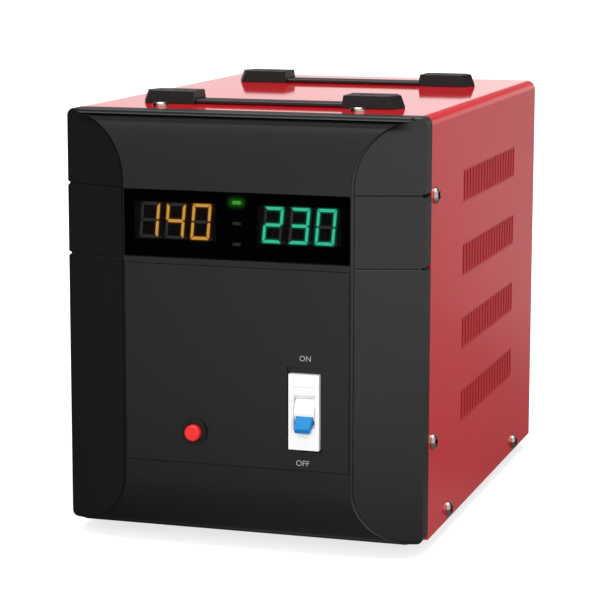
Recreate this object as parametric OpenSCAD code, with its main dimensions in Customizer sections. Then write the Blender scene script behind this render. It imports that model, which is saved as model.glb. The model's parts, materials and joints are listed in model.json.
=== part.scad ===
// Free-standing automatic voltage stabilizer: a bent steel cover over a steel chassis,
// a deep plastic front moulding with displays, breaker and push button, and two strap handles.
// X runs to the right, Y to the back, Z up. The origin is under the middle, on the floor.

/* [Casing] */
// Width of the cover over its two sides
case_w = 213; // [206:1:225]
// Height of the cover from its bottom edge to its top
case_h = 242; // [236:1:256]
// Depth of the cover from its front edge to its rear face
case_d = 287; // [280:1:310]
// Thickness of all the casing's steel sheet
sheet_t = 1.2; // [1:0.1:1.5]
// Outside radius of the cover's top bends and of the moulding's corners
bend_r = 6; // [5:0.5:8]
// Width of the lip that the cover turns in at the rear
lip_w = 11; // [9:0.5:13]
// Gap between the cover and the panels that it slides over
seat_gap = 0.15; // [0.1:0.05:0.3]
// Depth of the flanges of the front frame and the rear panel
flange_d = 22; // [20:1:26]
// Height of the base pan's side flanges
pan_flange_h = 14; // [12:1:18]

/* [Vent slots] */
// Number of slots in a row
vent_cols = 19; // [15:1:21]
// Number of rows of slots up each side
vent_rows = 4; // [3:1:4]
// Distance from slot to slot
vent_pitch = 7.73; // [7:0.05:8]
// Distance from row to row
vent_row_pitch = 44.1; // [40:0.5:46]
// Width of a slot
vent_slot_w = 3; // [2:0.1:3.6]
// Length of a slot
vent_slot_h = 17.8; // [14:0.5:20]
// Distance from the cover's front edge to the middle of the rows
vent_mid_y = 150.3; // [145:1:156]
// Height of the middle of the rows above the bottom edge
vent_mid_z = 128; // [124:1:132]

/* [Front moulding] */
// Depth of the moulding's side walls
bezel_d = 12.2; // [10:0.2:15]
// How far the centre face stands in front of the side walls' front edge
bulge = 13.5; // [11:0.5:16]
// Width of the flat centre face
panel_w = 134.2; // [130:0.1:138]
// Size of the bevel along the centre face's two edges
edge_bevel = 1.6; // [1.2:0.1:2.2]
// Wall thickness of the moulding
moulding_t = 3.5; // [3:0.1:4]
// Radius, seen from the front, on which the centre face's edges run out to the sides at the top
top_roll_r = 37; // [34:0.5:40]
// Height of the part that rolls back at the top
top_roll_h = 38.5; // [36:0.5:41]
// Radius, seen from the front, on which the centre face's edges run out to the sides at the bottom
bottom_roll_r = 30; // [27:0.5:33]
// Height of the part that rolls back at the bottom
bottom_roll_h = 32; // [29:0.5:35]
// Width of the V grooves across the pillars
notch_w = 2.4; // [1.6:0.1:3]
// Depth of the V grooves
notch_d = 1.8; // [1:0.1:2.4]
// Height of the upper V groove above the bottom edge
upper_notch_z = 198.7; // [196:0.5:202]
// Height of the lower V groove above the bottom edge
lower_notch_z = 157.8; // [154:0.5:160]
// Thickness of the lip along the moulding's top edge
rim_lip_h = 2.6; // [2:0.1:3.4]
// Height of the shadow groove under that lip
rim_groove_h = 3.4; // [2.5:0.1:4]
// Depth of the shadow groove
rim_groove_d = 4; // [2:0.1:5]
// Distance from the moulding's side to the end of the shadow groove
rim_groove_in = 11.5; // [9:0.5:16]
// Radius of the moulding's four outer corners
moulding_corner_r = 4.5; // [3.5:0.5:6]

/* [Display] */
// Width of the smoked window
window_w = 133.2; // [129:0.1:133.2]
// Height of the smoked window
window_h = 38.2; // [36:0.2:40]
// Thickness of the smoked window
window_t = 2; // [1.5:0.1:2.4]
// Height of the window's middle above the bottom edge
window_z = 179.2; // [178:0.2:181]
// Width of the strip between the two three-digit modules
middle_w = 23.1; // [21:0.1:26]
// Height of each three-digit module
module_h = 23; // [22:0.1:26]
// Depth of each three-digit module
module_d = 8; // [7:0.1:9]
// Height of a digit
digit_h = 20.4; // [18:0.1:21]
// Width of a digit's bars
segment_w = 2; // [1.6:0.1:2.6]
// Distance from one indicator light to the next
led_pitch = 11.8; // [10:0.1:13]
// Width of an indicator light
led_w = 5; // [4:0.1:6]
// Height of an indicator light
led_h = 2; // [1.5:0.1:2.5]

/* [Control plate] */
// Width of the control plate
plate_w = 133.2; // [129:0.1:133.2]
// Height of the control plate
plate_h = 114.4; // [110:0.2:116]
// Thickness of the control plate
plate_t = 1.5; // [1.2:0.1:1.8]
// Height of the plate's bottom edge above the casing's bottom edge
plate_z = 41.7; // [40:0.1:43]

/* [Breaker] */
// Width of the breaker
breaker_w = 18; // [17:0.1:18.5]
// Height of the breaker's nose
nose_h = 43.5; // [42:0.1:46]
// Depth of the nose in front of the shoulders
nose_d = 17.5; // [16:0.1:19]
// How far the nose stands in front of the control plate
nose_out = 2; // [1:0.1:3]
// Height of the breaker's body
breaker_h = 82; // [80:0.5:85]
// Depth of the breaker from its nose to its back
breaker_d = 70; // [68:0.5:74]
// Distance from the moulding's middle to the breaker's middle
breaker_x = 40.8; // [39:0.1:43]
// Height of the breaker's middle above the bottom edge
breaker_z = 75.7; // [74:0.1:80]
// Angle that the toggle swings through
toggle_throw = 76; // [60:1:80]
// Width of the toggle
toggle_w = 12; // [10:0.1:12.4]
// Radius of the toggle's drum
drum_r = 8.2; // [7.6:0.1:8.4]
// Distance from the toggle's axis to its tip
lever_reach = 16.5; // [15:0.1:17]

/* [Push button] */
// Distance from the moulding's middle to the button's middle
button_x = 24.8; // [22:0.1:28]
// Height of the button's middle above the bottom edge
button_z = 60; // [56:0.5:66]
// Radius of the button's collar
collar_r = 7.5; // [7:0.1:9]
// Height of the button's collar
collar_h = 2; // [1.5:0.1:2.5]
// Radius of the button's cap
cap_r = 4.7; // [4.2:0.1:4.9]
// How far the cap stands in front of the control plate
cap_out = 5.6; // [5:0.1:7]
// How far the cap can be pressed
cap_travel = 2.5; // [1.5:0.1:3]

/* [Handles] */
// Distance from the middle to a handle's outermost point
handle_reach = 79.8; // [77:0.1:84]
// Distance from the middle to an end cap's inner face
strap_half = 44.8; // [42:0.1:48]
// Width of an end cap
end_cap_w = 22; // [20:0.5:24]
// Height of an end cap
end_cap_h = 7.5; // [7:0.1:9]
// Width of the strap
strap_w = 16; // [14:0.5:17]
// Thickness of the strap
strap_t = 2.4; // [2:0.1:2.8]
// Distance from the cover's front edge to the front handle's middle
front_handle_y = 43; // [40:1:50]
// Distance from the cover's front edge to the rear handle's middle
rear_handle_y = 222; // [216:1:230]

/* [Screws] */
// Radius of the cover screws' heads
screw_head_r = 4.6; // [4.2:0.1:5]
// Height of the cover screws' heads
screw_head_h = 2.6; // [2.2:0.1:3]
// Radius of the cover screws' shanks
screw_r = 2; // [1.8:0.1:2.2]
// Length of the cover screws' shanks
screw_len = 8; // [7:0.5:10]
// Distance from the cover's front edge to the two front screws of a side
side_screw_y = 8; // [7:0.5:10]
// Height of the upper front screw above the bottom edge
upper_screw_z = 197; // [190:1:204]
// Height of the lower front screw above the bottom edge
lower_screw_z = 56; // [50:1:62]
// Height of the base screws above the bottom edge
base_screw_z = 6.5; // [6:0.1:7]
// Distance from the cover's front edge to the front base screw
base_screw_front_y = 48; // [44:1:56]
// Distance from the cover's front edge to the rear base screw
base_screw_rear_y = 232; // [226:1:240]
// Distance from the middle to a top screw
top_screw_x = 59.5; // [56:0.5:64]
// Distance from the cover's front edge to the top screws
top_screw_y = 15; // [13:0.5:17]

/* [Feet] */
// Height of a rubber foot
foot_h = 8; // [7:0.5:10]
// Radius of a rubber foot
foot_r = 11; // [10:0.5:13]
// Distance from the cover's side to a foot's middle
foot_in = 26; // [24:0.5:30]
// Distance from the cover's front or rear to a foot's middle
foot_back = 36; // [34:0.5:40]

/* [Transformer] */
// Outside radius of the wound ring
coil_r = 80; // [76:1:84]
// Radius of the hole through the wound ring
coil_hole_r = 26; // [22:1:30]
// Height of the wound ring
coil_h = 70; // [64:1:78]
// Thickness of the winding around the core
winding_t = 9; // [8:0.5:11]
// Radius that rounds the winding
winding_round = 8; // [6:0.5:8]
// Distance from the cover's front edge to the ring's middle
coil_y = 165; // [162:1:170]
// Thickness of the rubber pads under and over the ring
pad_t = 3; // [2:0.5:4]
// Radius of the steel disc that clamps the ring
disc_r = 52; // [46:1:56]
// Radius of the clamping bolt
bolt_r = 4; // [4:0.5:5]

/* [Control board] */
// Distance from the cover's front edge to the board's bracket
bracket_y = 62; // [60:1:66]
// Width of the bracket
bracket_w = 164; // [156:1:170]
// Height of the bracket
bracket_h = 204; // [200:1:212]
// Width of the control board
board_w = 144; // [136:1:150]
// Height of the control board
board_h = 96; // [90:1:100]
// Thickness of both circuit boards
board_t = 1.6; // [1.2:0.1:2]
// Length of the board's spacers
spacer_len = 8; // [6:0.5:10]
// Number of relays
relay_count = 5; // [3:1:5]
// Width of a relay
relay_w = 18; // [16:0.5:20]
// Height of a relay
relay_h = 30; // [26:0.5:32]
// Depth of a relay
relay_d = 26; // [20:0.5:28]

/* [Rear terminals] */
// Number of terminals
terminal_count = 5; // [4:1:6]
// Distance from terminal to terminal
terminal_pitch = 17; // [15:0.5:18]
// Height of the terminal block
block_h = 34; // [30:0.5:38]
// Depth of the terminal block
block_d = 16; // [14:0.5:18]
// Height of the block's middle above the bottom edge
block_z = 52; // [48:1:60]
// Depth of the terminal cover behind the rear panel
terminal_cover_d = 27; // [26:0.5:30]
// Wall thickness of the terminal cover
terminal_cover_t = 2; // [1.6:0.1:2.4]

/* [Hidden] */
$fn = 48;
overrun = 1;

// Slope of the pillars, and the set-back where the centre face stops rolling back
pillar_run = (case_w - panel_w) / 2 - edge_bevel;
pillar_slope = (bulge - edge_bevel) / pillar_run;
pillar_angle = atan(pillar_slope);
roll_rest = 0.6;
roll_limit = bulge - edge_bevel - roll_rest;
ring_steps = 11;
top_wall = 8;
boss_r = 4;
boss_in = 15;
boss_x = case_w / 2 - boss_in;
boss_z_in = 14;
boss_hole_r = 1.5;
insert_gap = 0.25;
ledge_w = 2.5;

// Small sizes of the display
display_gap = 0.4;
segment_t = 0.2;
segment_gap = 0.3;
module_side = 2.25;
module_w = window_w / 2 - ledge_w - module_side - middle_w / 2;
module_x = (middle_w + module_w) / 2;
digit_w_share = 0.2346;
digit_pitch_share = 0.3062;
digit_w = module_w * digit_w_share;
digit_pitch = module_w * digit_pitch_share;
digit_lean_angle = 5;
post_r = 3.2;
post_hole_r = 1.2;
post_in_x = 5;
post_in_z = 3.5;
display_board_w = 126;
display_board_h = 48;
post_x = display_board_w / 2 - post_in_x;
post_z = display_board_h / 2 - post_in_z;
display_rise = 1.5;
dot_r = 0.9;
board_screw_len = 7;
board_screw_r = 1.15;
board_screw_head_r = 2.4;
board_screw_head_h = 1.5;
lit_input_segments = ["23", "2367", "123456"];
lit_output_segments = ["12457", "12347", "123456"];

// Small sizes of the breaker
pivot_set = 9;
lever_root_t = 6;
lever_tip_t = 4;
toggle_run = 0.3;
lever_seat = 5;
lever_side = 0.85;
axle_r = 1.6;
axle_run = 0.06;
axle_out = 1.6;
nose_side_gap = 1.4;
nose_top_gap = 3.7;
nose_low_gap = 1.2;
nose_pocket_d = 1;
nose_pocket_w = 14;
nose_pocket_h = 29;
shoulder_step = 5;
rail_h = 35;
rail_d = 7.5;
rail_t = 1;
rail_hat_h = 27;
rail_len = 34;
rail_notch_d = 5;
rail_fit = 0.2;
arm_half = 19;
arm_foot = 12;
bracket_half_h = 30;

// Small sizes of the push button
button_body_r = 5.9;
button_body_len = 20;
button_hole_gap = 0.15;
cap_run = 0.1;
cap_inside = 8;
cap_edge = 0.8;
nut_w = 14;
nut_t = 3;
solder_tag_w = 2;
solder_tag_t = 0.5;
solder_tag_len = 5;
solder_tag_x = 3;

// Small sizes of the handles
end_cap_point = 4.7;
end_cap_point_draft = 2.4;
end_cap_side_draft = 0.8;
end_cap_foot_h = 1;
end_cap_screw_x = 56.5;
handle_screw_r = 2;
handle_screw_head_r = 3.6;
handle_screw_head_h = 2.4;
handle_screw_sink = 2;
handle_screw_below = 6;
grip_half = 14;
strap_lift = 0.2;
strap_tail = 12;
strap_edge_r = 0.8;
strap_pocket_gap = 0.3;
strap_slot_len = 7;

// Small sizes of the screws and feet
screw_fit = 0.05;
screw_hole_r = screw_r + screw_fit;
rear_screw_len = 6;
rear_screw_x_share = 0.5;
moulding_screw_len = 9;
moulding_screw_r = 1.45;
moulding_screw_head_r = 3;
moulding_screw_head_h = 1.8;
foot_taper = 1.5;
base_vent_cols = 5;
base_vent_x = 36;
foot_sink_r = 6;
foot_sink_d = 4;
foot_screw_len = 8;
foot_screw_head_r = 4;
foot_screw_head_h = 2.4;

// Small sizes of the transformer's fixings
disc_t = 2;
disc_dish = 4;
bolt_fit = 0.2;
bolt_head_w = 13;
bolt_head_h = 5;
bolt_above = 6;
bolt_nut_h = 6.5;

// Small sizes of the control board
bracket_foot = 14;
board_top_in = 8;
spacer_r = 3;
spacer_in = 7;
relay_pitch = 25;
relay_in = 8;
capacitor_r = 9;
capacitor_len = 26;
capacitor_pitch = 24;
capacitor_count = 3;
capacitor_in = 22;

// Small sizes of the rear terminals
block_end = 8;
block_w = terminal_count * terminal_pitch + 2 * block_end;
barrier_t = 2;
barrier_d = 8;
terminal_screw_r = 2;
terminal_head_r = 4.2;
terminal_head_h = 2.5;
terminal_plate_t = 1.2;
terminal_row_z = 8.5;
terminal_plate_w = 11;
terminal_plate_h = 13;
terminal_sink = 6;
block_hole_in = 5;
cover_ear_w = 10;
cover_gap = 1;
cover_over = 5;
cover_skirt = 12;
cover_screw_r = 1.5;
cover_screw_head_r = 3;
cover_screw_out = 1.8;
cover_screw_len = 4;
rear_vent_cols = 15;
rear_vent_rows = 2;
rear_vent_z = 160;
rear_vent_row_pitch = 27;

// Main planes of the whole part
toggle_out = nose_out - pivot_set + lever_reach * cos(toggle_throw / 2)
    + lever_tip_t / 2 * sin(toggle_throw / 2);
front_reach = bezel_d + bulge + max(cap_out, toggle_out);
front_y = (front_reach - case_d + sheet_t - terminal_cover_d - cover_screw_out) / 2;
rear_y = front_y + case_d;
bezel_y = front_y - bezel_d;
face_y = bezel_y - bulge;
base_z = foot_h;
top_z = base_z + case_h;
inner_x = case_w / 2 - sheet_t - seat_gap;
inner_top_z = top_z - sheet_t - seat_gap;
inner_bend_r = bend_r - sheet_t - seat_gap;
floor_z = base_z + sheet_t;
rear_panel_y = rear_y - sheet_t;
segment_front_y = face_y + window_t + display_gap;
module_y = segment_front_y + segment_t;
display_board_y = module_y + module_d;
nose_y = face_y - nose_out;
lever_w = toggle_w - 2 * lever_side;
pivot_y = nose_y + pivot_set;
rail_y = nose_y + breaker_d - rail_notch_d;
rail_back_y = rail_y + rail_d;
coil_floor_z = floor_z + pad_t;
coil_top_z = coil_floor_z + coil_h;
board_y = front_y + bracket_y + sheet_t + spacer_len;
board_top_z = floor_z + bracket_h - board_top_in;

// A box given by its lowest and highest corners
module block(low, high) {
    translate(low) cube(high - low);
}

// Round rods along the three axes
module rod_x(x0, x1, y, z, r) {
    translate([x0, y, z]) rotate([0, 90, 0]) cylinder(h = x1 - x0, r = r);
}

module rod_y(x, y0, y1, z, r) {
    translate([x, y0, z]) rotate([-90, 0, 0]) cylinder(h = y1 - y0, r = r);
}

module rod_z(x, y, z0, z1, r) {
    translate([x, y, z0]) cylinder(h = z1 - z0, r = r);
}

// Extrudes a drawing of the XZ plane from y to y + depth
module across_y(y, depth) {
    translate([0, y + depth, 0]) rotate([90, 0, 0]) linear_extrude(depth) children();
}

// Extrudes a drawing of the YZ plane from x to x + width
module across_x(x, width) {
    translate([x, 0, 0]) rotate([90, 0, 90]) linear_extrude(width) children();
}

// Repeats its children on both sides of the middle
module both_sides() {
    for (side = [0, 1]) mirror([side, 0, 0]) children();
}

// Outline with a flat foot and two rounded top corners
module arch(w, h, r) {
    translate([-w / 2, 0]) square([w, h - r]);
    translate([r - w / 2, 0]) square([w - 2 * r, h]);
    for (side = [-1, 1]) translate([side * (w / 2 - r), h - r]) circle(r);
}

// Rectangle with four rounded corners around its middle
module rounded_rect(w, h, r) {
    square([w - 2 * r, h], center = true);
    square([w, h - 2 * r], center = true);
    for (x = [-1, 1], y = [-1, 1]) translate([x * (w / 2 - r), y * (h / 2 - r)]) circle(r);
}

// Upright slot with round ends
module slot_shape(w, h) {
    square([w, h - w], center = true);
    for (end = [-1, 1]) translate([0, end * (h - w) / 2]) circle(w / 2);
}

// Domed screw head that rises from its seat along +Z
module dome_head(r, h) {
    ball_r = (r * r + h * h) / (2 * h);
    intersection() {
        cylinder(h = h, r = r);
        translate([0, 0, h - ball_r]) sphere(ball_r);
    }
}

// Pan-head screw whose seat is at the origin and whose head points along +Z
module pan_screw(head_r, head_h, r, len) {
    cylinder(h = head_h / 3, r = head_r);
    translate([0, 0, head_h / 3]) dome_head(head_r, head_h * 2 / 3);
    translate([0, 0, -len]) cylinder(h = len, r = r);
}

// Places of the cover's side screws as distance from the front edge and height
side_screw_places = [[side_screw_y, upper_screw_z], [side_screw_y, lower_screw_z],
    [base_screw_front_y, base_screw_z], [base_screw_rear_y, base_screw_z]];

module side_screw_holes() {
    both_sides() for (p = side_screw_places)
        rod_x(case_w / 2 - screw_len - overrun, case_w / 2 + overrun, front_y + p[0], base_z + p[1],
            screw_hole_r);
}

module top_screw_holes() {
    both_sides() rod_z(top_screw_x, front_y + top_screw_y, top_z - screw_len - overrun, top_z + overrun,
        screw_hole_r);
}

// The rear screws go through the middle of the cover's rear lip
rear_screw_in = lip_w * rear_screw_x_share;
rear_screw_places = [for (side = [-1, 1], share = [0.12, 0.5, 0.88])
    [side * (case_w / 2 - rear_screw_in), base_z + case_h * share]];

module rear_screw_holes() {
    for (p = rear_screw_places)
        rod_y(p[0], rear_y - rear_screw_len - overrun, rear_y + overrun, p[1], screw_hole_r);
}

module end_cap_screw_holes() {
    for (side = [-1, 1], y = [front_handle_y, rear_handle_y])
        rod_z(side * end_cap_screw_x, front_y + y, top_z - handle_screw_below - overrun,
            top_z + end_cap_h + overrun, handle_screw_r + screw_fit);
}

module side_vents() {
    for (row = [0 : vent_rows - 1], col = [0 : vent_cols - 1])
        translate([0, front_y + vent_mid_y + (col - (vent_cols - 1) / 2) * vent_pitch,
            base_z + vent_mid_z + (row - (vent_rows - 1) / 2) * vent_row_pitch])
            both_sides() translate([case_w / 2 - sheet_t - overrun, 0, 0]) rotate([90, 0, 90])
                linear_extrude(sheet_t + 2 * overrun) slot_shape(vent_slot_w, vent_slot_h);
}

module cover() {
    color([0.78, 0.05, 0.08]) difference() {
        across_y(front_y, case_d) translate([0, base_z]) arch(case_w, case_h, bend_r);
        across_y(front_y - overrun, case_d + overrun - sheet_t) translate([0, base_z - overrun])
            arch(case_w - 2 * sheet_t, case_h - sheet_t + overrun, bend_r - sheet_t);
        across_y(rear_y - sheet_t - overrun, sheet_t + 2 * overrun) translate([0, base_z - overrun])
            arch(case_w - 2 * lip_w, case_h - lip_w + overrun, bend_r);
        side_vents();
        side_screw_holes();
        top_screw_holes();
        rear_screw_holes();
        end_cap_screw_holes();
    }
}

foot_places = [for (side = [-1, 1], y = [front_y + foot_back, rear_y - foot_back])
    [side * (case_w / 2 - foot_in), y]];
coil_mid_y = front_y + coil_y;

module base_pan() {
    pan_front_y = front_y + flange_d + seat_gap;
    pan_rear_y = rear_panel_y - flange_d - seat_gap;
    color([0.3, 0.3, 0.32]) difference() {
        union() {
            block([-inner_x, front_y + seat_gap, base_z], [inner_x, rear_panel_y - seat_gap, floor_z]);
            both_sides() block([inner_x - sheet_t, pan_front_y, base_z],
                [inner_x, pan_rear_y, base_z + pan_flange_h]);
        }
        side_screw_holes();
        for (p = foot_places) rod_z(p[0], p[1], base_z - overrun, floor_z + overrun, screw_hole_r);
        rod_z(0, coil_mid_y, base_z - overrun, floor_z + overrun, bolt_r + bolt_fit);
        both_sides() for (row = [-1, 1])
            translate([base_vent_x, coil_mid_y + row * coil_r, base_z - overrun])
            for (col = [0 : base_vent_cols - 1])
                translate([(col - (base_vent_cols - 1) / 2) * vent_pitch, 0, 0])
                linear_extrude(sheet_t + 2 * overrun) slot_shape(vent_slot_w, vent_slot_h);
    }
}

// Panel inside the cover with a flange all round its edge
module flanged_panel(y, flange_y) {
    difference() {
        across_y(min(y, flange_y), abs(flange_y - y)) translate([0, floor_z + seat_gap])
            arch(2 * inner_x, inner_top_z - floor_z - seat_gap, inner_bend_r);
        across_y(y < flange_y ? y + sheet_t : flange_y - overrun, abs(flange_y - y) - sheet_t + overrun)
            translate([0, floor_z + seat_gap + sheet_t])
            arch(2 * (inner_x - sheet_t), inner_top_z - floor_z - seat_gap - 2 * sheet_t,
                inner_bend_r - sheet_t);
    }
}

boss_places = [for (side = [-1, 1], z = [base_z + boss_z_in, top_z - boss_z_in]) [side * boss_x, z]];

post_places = [for (x = [-1, 1], z = [-1, 1]) [x * post_x, base_z + window_z + z * post_z]];

module front_frame() {
    color([0.3, 0.3, 0.32]) difference() {
        flanged_panel(front_y, front_y + flange_d);
        side_screw_holes();
        top_screw_holes();
        for (p = boss_places) rod_y(p[0], front_y - overrun, front_y + sheet_t + overrun, p[1],
            moulding_screw_r + screw_fit);
        across_y(front_y - overrun, sheet_t + 2 * overrun) {
            translate([0, base_z + window_z])
                square([display_board_w - 2 * ledge_w, display_board_h - 2 * ledge_w], center = true);
            translate([breaker_x, base_z + breaker_z])
                square([breaker_w + 2 * ledge_w, breaker_h + 2 * ledge_w], center = true);
            translate([-button_x, base_z + button_z]) circle(nut_w);
        }
    }
}

module rear_panel() {
    color([0.62, 0.05, 0.07]) difference() {
        flanged_panel(rear_panel_y, rear_panel_y - flange_d);
        rear_screw_holes();
        across_y(rear_panel_y - sheet_t - overrun, sheet_t + 2 * overrun) {
            translate([0, base_z + block_z]) square([block_w - 2 * block_end, block_h / 2], center = true);
            for (side = [-1, 1]) translate([side * (block_w / 2 - block_hole_in), base_z + block_z])
                circle(cover_screw_r + screw_fit);
            for (row = [0 : rear_vent_rows - 1], col = [0 : rear_vent_cols - 1])
                translate([(col - (rear_vent_cols - 1) / 2) * vent_pitch,
                    base_z + rear_vent_z + (row - (rear_vent_rows - 1) / 2) * rear_vent_row_pitch])
                    slot_shape(vent_slot_w, vent_slot_h);
        }
    }
}

// How far a circle's edge has moved aside at a distance from where it starts
function run_out(radius, along) = radius - sqrt(radius * radius - along * along);

// How far the centre face is set back at a height above the casing's bottom edge
function roll_back(h) =
    let (over = min(top_roll_r, max(0, h - case_h + top_roll_h)),
        under = min(bottom_roll_r, max(0, bottom_roll_h - h)))
    min(roll_limit, pillar_slope * (run_out(top_roll_r, over) + run_out(bottom_roll_r, under)));

// Half the width of the centre face where it is set back by a distance
function centre_half(back) = case_w / 2 - edge_bevel - (bulge - edge_bevel - back) / pillar_slope;

// Heights of the moulding's cross-sections, closer together where the face curves more
ring_heights = concat(
    [for (i = [0 : ring_steps]) bottom_roll_h * (1 - sin(90 - 90 * i / ring_steps))],
    [for (i = [0 : ring_steps]) case_h - top_roll_h * (1 - sin(90 * i / ring_steps))]);

// One cross-section of the moulding, drawn in by an inset on all sides but the back
function moulding_ring(h, inset, low, high, rear) =
    let (back = roll_back(h), half = centre_half(back), z = base_z + low + h * (high - low) / case_h,
        side = case_w / 2 - inset, front = face_y + back + inset)
    [[-side, rear, z], [-side, bezel_y + inset, z], [-half - edge_bevel, front + edge_bevel, z],
     [-half, front, z], [half, front, z], [half + edge_bevel, front + edge_bevel, z],
     [side, bezel_y + inset, z], [side, rear, z]];

// Solid lofted through the moulding's cross-sections
module moulding_form(inset, low, high, rear) {
    rings = [for (h = ring_heights) moulding_ring(h, inset, low, high, rear)];
    n = len(rings[0]);
    last = (len(rings) - 1) * n;
    polyhedron(
        points = [for (ring = rings) for (p = ring) p],
        faces = concat(
            [for (r = [0 : len(rings) - 2], i = [0 : n - 1])
                let (a = r * n + i, b = r * n + (i + 1) % n) [a, a + n, b + n, b]],
            [[for (i = [0 : n - 1]) i]],
            [[for (i = [n - 1 : -1 : 0]) last + i]]));
}

// V groove that runs across a pillar and round the side wall
module pillar_notch(z) {
    flare = notch_w / 2 * (1 + overrun / notch_d);
    module v_shape() polygon([[-overrun, -flare], [notch_d, 0], [-overrun, flare]]);
    both_sides() translate([case_w / 2, bezel_y, base_z + z]) {
        rotate([0, 0, pillar_angle])
            across_x(-pillar_run / cos(pillar_angle), pillar_run / cos(pillar_angle) + overrun) v_shape();
        rotate([0, 0, 90]) across_x(-overrun, bezel_d + 2 * overrun) v_shape();
    }
}

// The cut-out round the breaker's nose, with more room above it
module nose_cut_out() {
    translate([breaker_x, base_z + breaker_z + (nose_top_gap - nose_low_gap) / 2])
        square([breaker_w + 2 * nose_side_gap, nose_h + nose_top_gap + nose_low_gap], center = true);
}

module moulding_openings() {
    window_open_y = moulding_t + 2 * overrun;
    across_y(face_y - overrun, window_t + overrun) translate([0, base_z + window_z])
        square([window_w + 2 * insert_gap, window_h + 2 * insert_gap], center = true);
    across_y(face_y - overrun, window_open_y) translate([0, base_z + window_z])
        square([window_w - 2 * ledge_w, window_h - 2 * ledge_w], center = true);
    across_y(face_y - overrun, plate_t + overrun) translate([0, base_z + plate_z + plate_h / 2])
        square([plate_w + 2 * insert_gap, plate_h + 2 * insert_gap], center = true);
    across_y(face_y - overrun, window_open_y) nose_cut_out();
    rod_y(-button_x, face_y - overrun, face_y + moulding_t + overrun, base_z + button_z,
        button_body_r + button_hole_gap);
}

module front_moulding() {
    color([0.06, 0.06, 0.065]) difference() {
        union() {
            intersection() {
                difference() {
                    moulding_form(0, 0, case_h, front_y);
                    moulding_form(moulding_t, moulding_t, case_h - top_wall, front_y + overrun);
                }
                across_y(face_y - overrun, bezel_d + bulge + overrun) translate([0, base_z + case_h / 2])
                    rounded_rect(case_w, case_h, moulding_corner_r);
            }
            for (p = boss_places) rod_y(p[0], bezel_y - moulding_t, front_y, p[1], boss_r);
            for (p = post_places) rod_y(p[0], face_y + moulding_t - overrun, display_board_y, p[1], post_r);
        }
        moulding_openings();
        for (p = boss_places)
            rod_y(p[0], front_y - moulding_screw_len, front_y + overrun, p[1], boss_hole_r);
        for (p = post_places) rod_y(p[0], display_board_y + board_t - board_screw_len - board_screw_r,
            display_board_y + overrun, p[1], post_hole_r);
        for (z = [upper_notch_z, lower_notch_z]) pillar_notch(z);
        block([rim_groove_in - case_w / 2, face_y - overrun, top_z - rim_lip_h - rim_groove_h],
            [case_w / 2 - rim_groove_in, face_y + roll_limit + rim_groove_d - roll_rest,
                top_z - rim_lip_h]);
    }
}

module control_plate() {
    color([0.09, 0.09, 0.095]) difference() {
        across_y(face_y, plate_t) translate([0, base_z + plate_z + plate_h / 2])
            square([plate_w, plate_h], center = true);
        across_y(face_y - overrun, plate_t + 2 * overrun) {
            nose_cut_out();
            translate([-button_x, base_z + button_z]) circle(button_body_r + button_hole_gap);
        }
    }
}

module display_window() {
    color([0.02, 0.02, 0.025, 0.6]) across_y(face_y, window_t) translate([0, base_z + window_z])
        square([window_w, window_h], center = true);
}

module display_board() {
    color([0.05, 0.25, 0.12]) difference() {
        across_y(display_board_y, board_t) translate([0, base_z + window_z])
            square([display_board_w, display_board_h], center = true);
        for (p = post_places) rod_y(p[0], display_board_y - overrun,
            display_board_y + board_t + overrun, p[1], board_screw_r + screw_fit);
    }
}

module display_screws() {
    color([0.8, 0.79, 0.76]) for (p = post_places) translate([p[0], display_board_y + board_t, p[1]])
        rotate([-90, 0, 0])
            pan_screw(board_screw_head_r, board_screw_head_h, board_screw_r, board_screw_len);
}

module digit_module(x) {
    color([0.1, 0.1, 0.1]) across_y(module_y, module_d) translate([x, base_z + window_z + display_rise])
        square([module_w, module_h], center = true);
}

module input_display() digit_module(-module_x);
module output_display() digit_module(module_x);

// One bar of a digit, lying along X around the origin
module segment_shape(len) {
    half = len / 2 - segment_gap;
    tip = segment_w / 2;
    polygon([[-half, 0], [tip - half, tip], [half - tip, tip], [half, 0], [half - tip, -tip],
        [tip - half, -tip]]);
}

// Bars 1 to 7 go clockwise from the top, with the middle bar last
module digit_segment(number) {
    bar_w = digit_w - segment_w;
    bar_h = (digit_h - segment_w) / 2;
    if (number == 1) translate([0, bar_h]) segment_shape(bar_w);
    if (number == 2) translate([bar_w / 2, bar_h / 2]) rotate(90) segment_shape(bar_h);
    if (number == 3) translate([bar_w / 2, -bar_h / 2]) rotate(90) segment_shape(bar_h);
    if (number == 4) translate([0, -bar_h]) segment_shape(bar_w);
    if (number == 5) translate([-bar_w / 2, -bar_h / 2]) rotate(90) segment_shape(bar_h);
    if (number == 6) translate([-bar_w / 2, bar_h / 2]) rotate(90) segment_shape(bar_h);
    if (number == 7) segment_shape(bar_w);
}

// The bars of a three-digit display whose state is the one asked for
module digit_bars(x, lit_table, lit) {
    lean = tan(digit_lean_angle);
    for (digit = [0 : 2], bar = [1 : 7])
        if (len(search(str(bar), lit_table[digit])) > 0 == lit)
            across_y(segment_front_y, segment_t)
                translate([x + (digit - 1) * digit_pitch, base_z + window_z + display_rise])
                multmatrix([[1, lean, 0, 0], [0, 1, 0, 0], [0, 0, 1, 0], [0, 0, 0, 1]]) digit_segment(bar);
}

module input_digits_lit() color([1, 0.6, 0.1]) digit_bars(-module_x, lit_input_segments, true);

// The points at the lower right of a display's digits
module digit_dots(x) {
    for (digit = [0 : 2])
        across_y(segment_front_y, segment_t)
            translate([x + (digit - 1) * digit_pitch + (digit_w + dot_r) / 2,
                base_z + window_z + display_rise - digit_h / 2 + dot_r]) circle(dot_r);
}

module input_digits_unlit() {
    color([0.3, 0.3, 0.3]) {
        digit_bars(-module_x, lit_input_segments, false);
        digit_dots(-module_x);
    }
}

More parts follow.
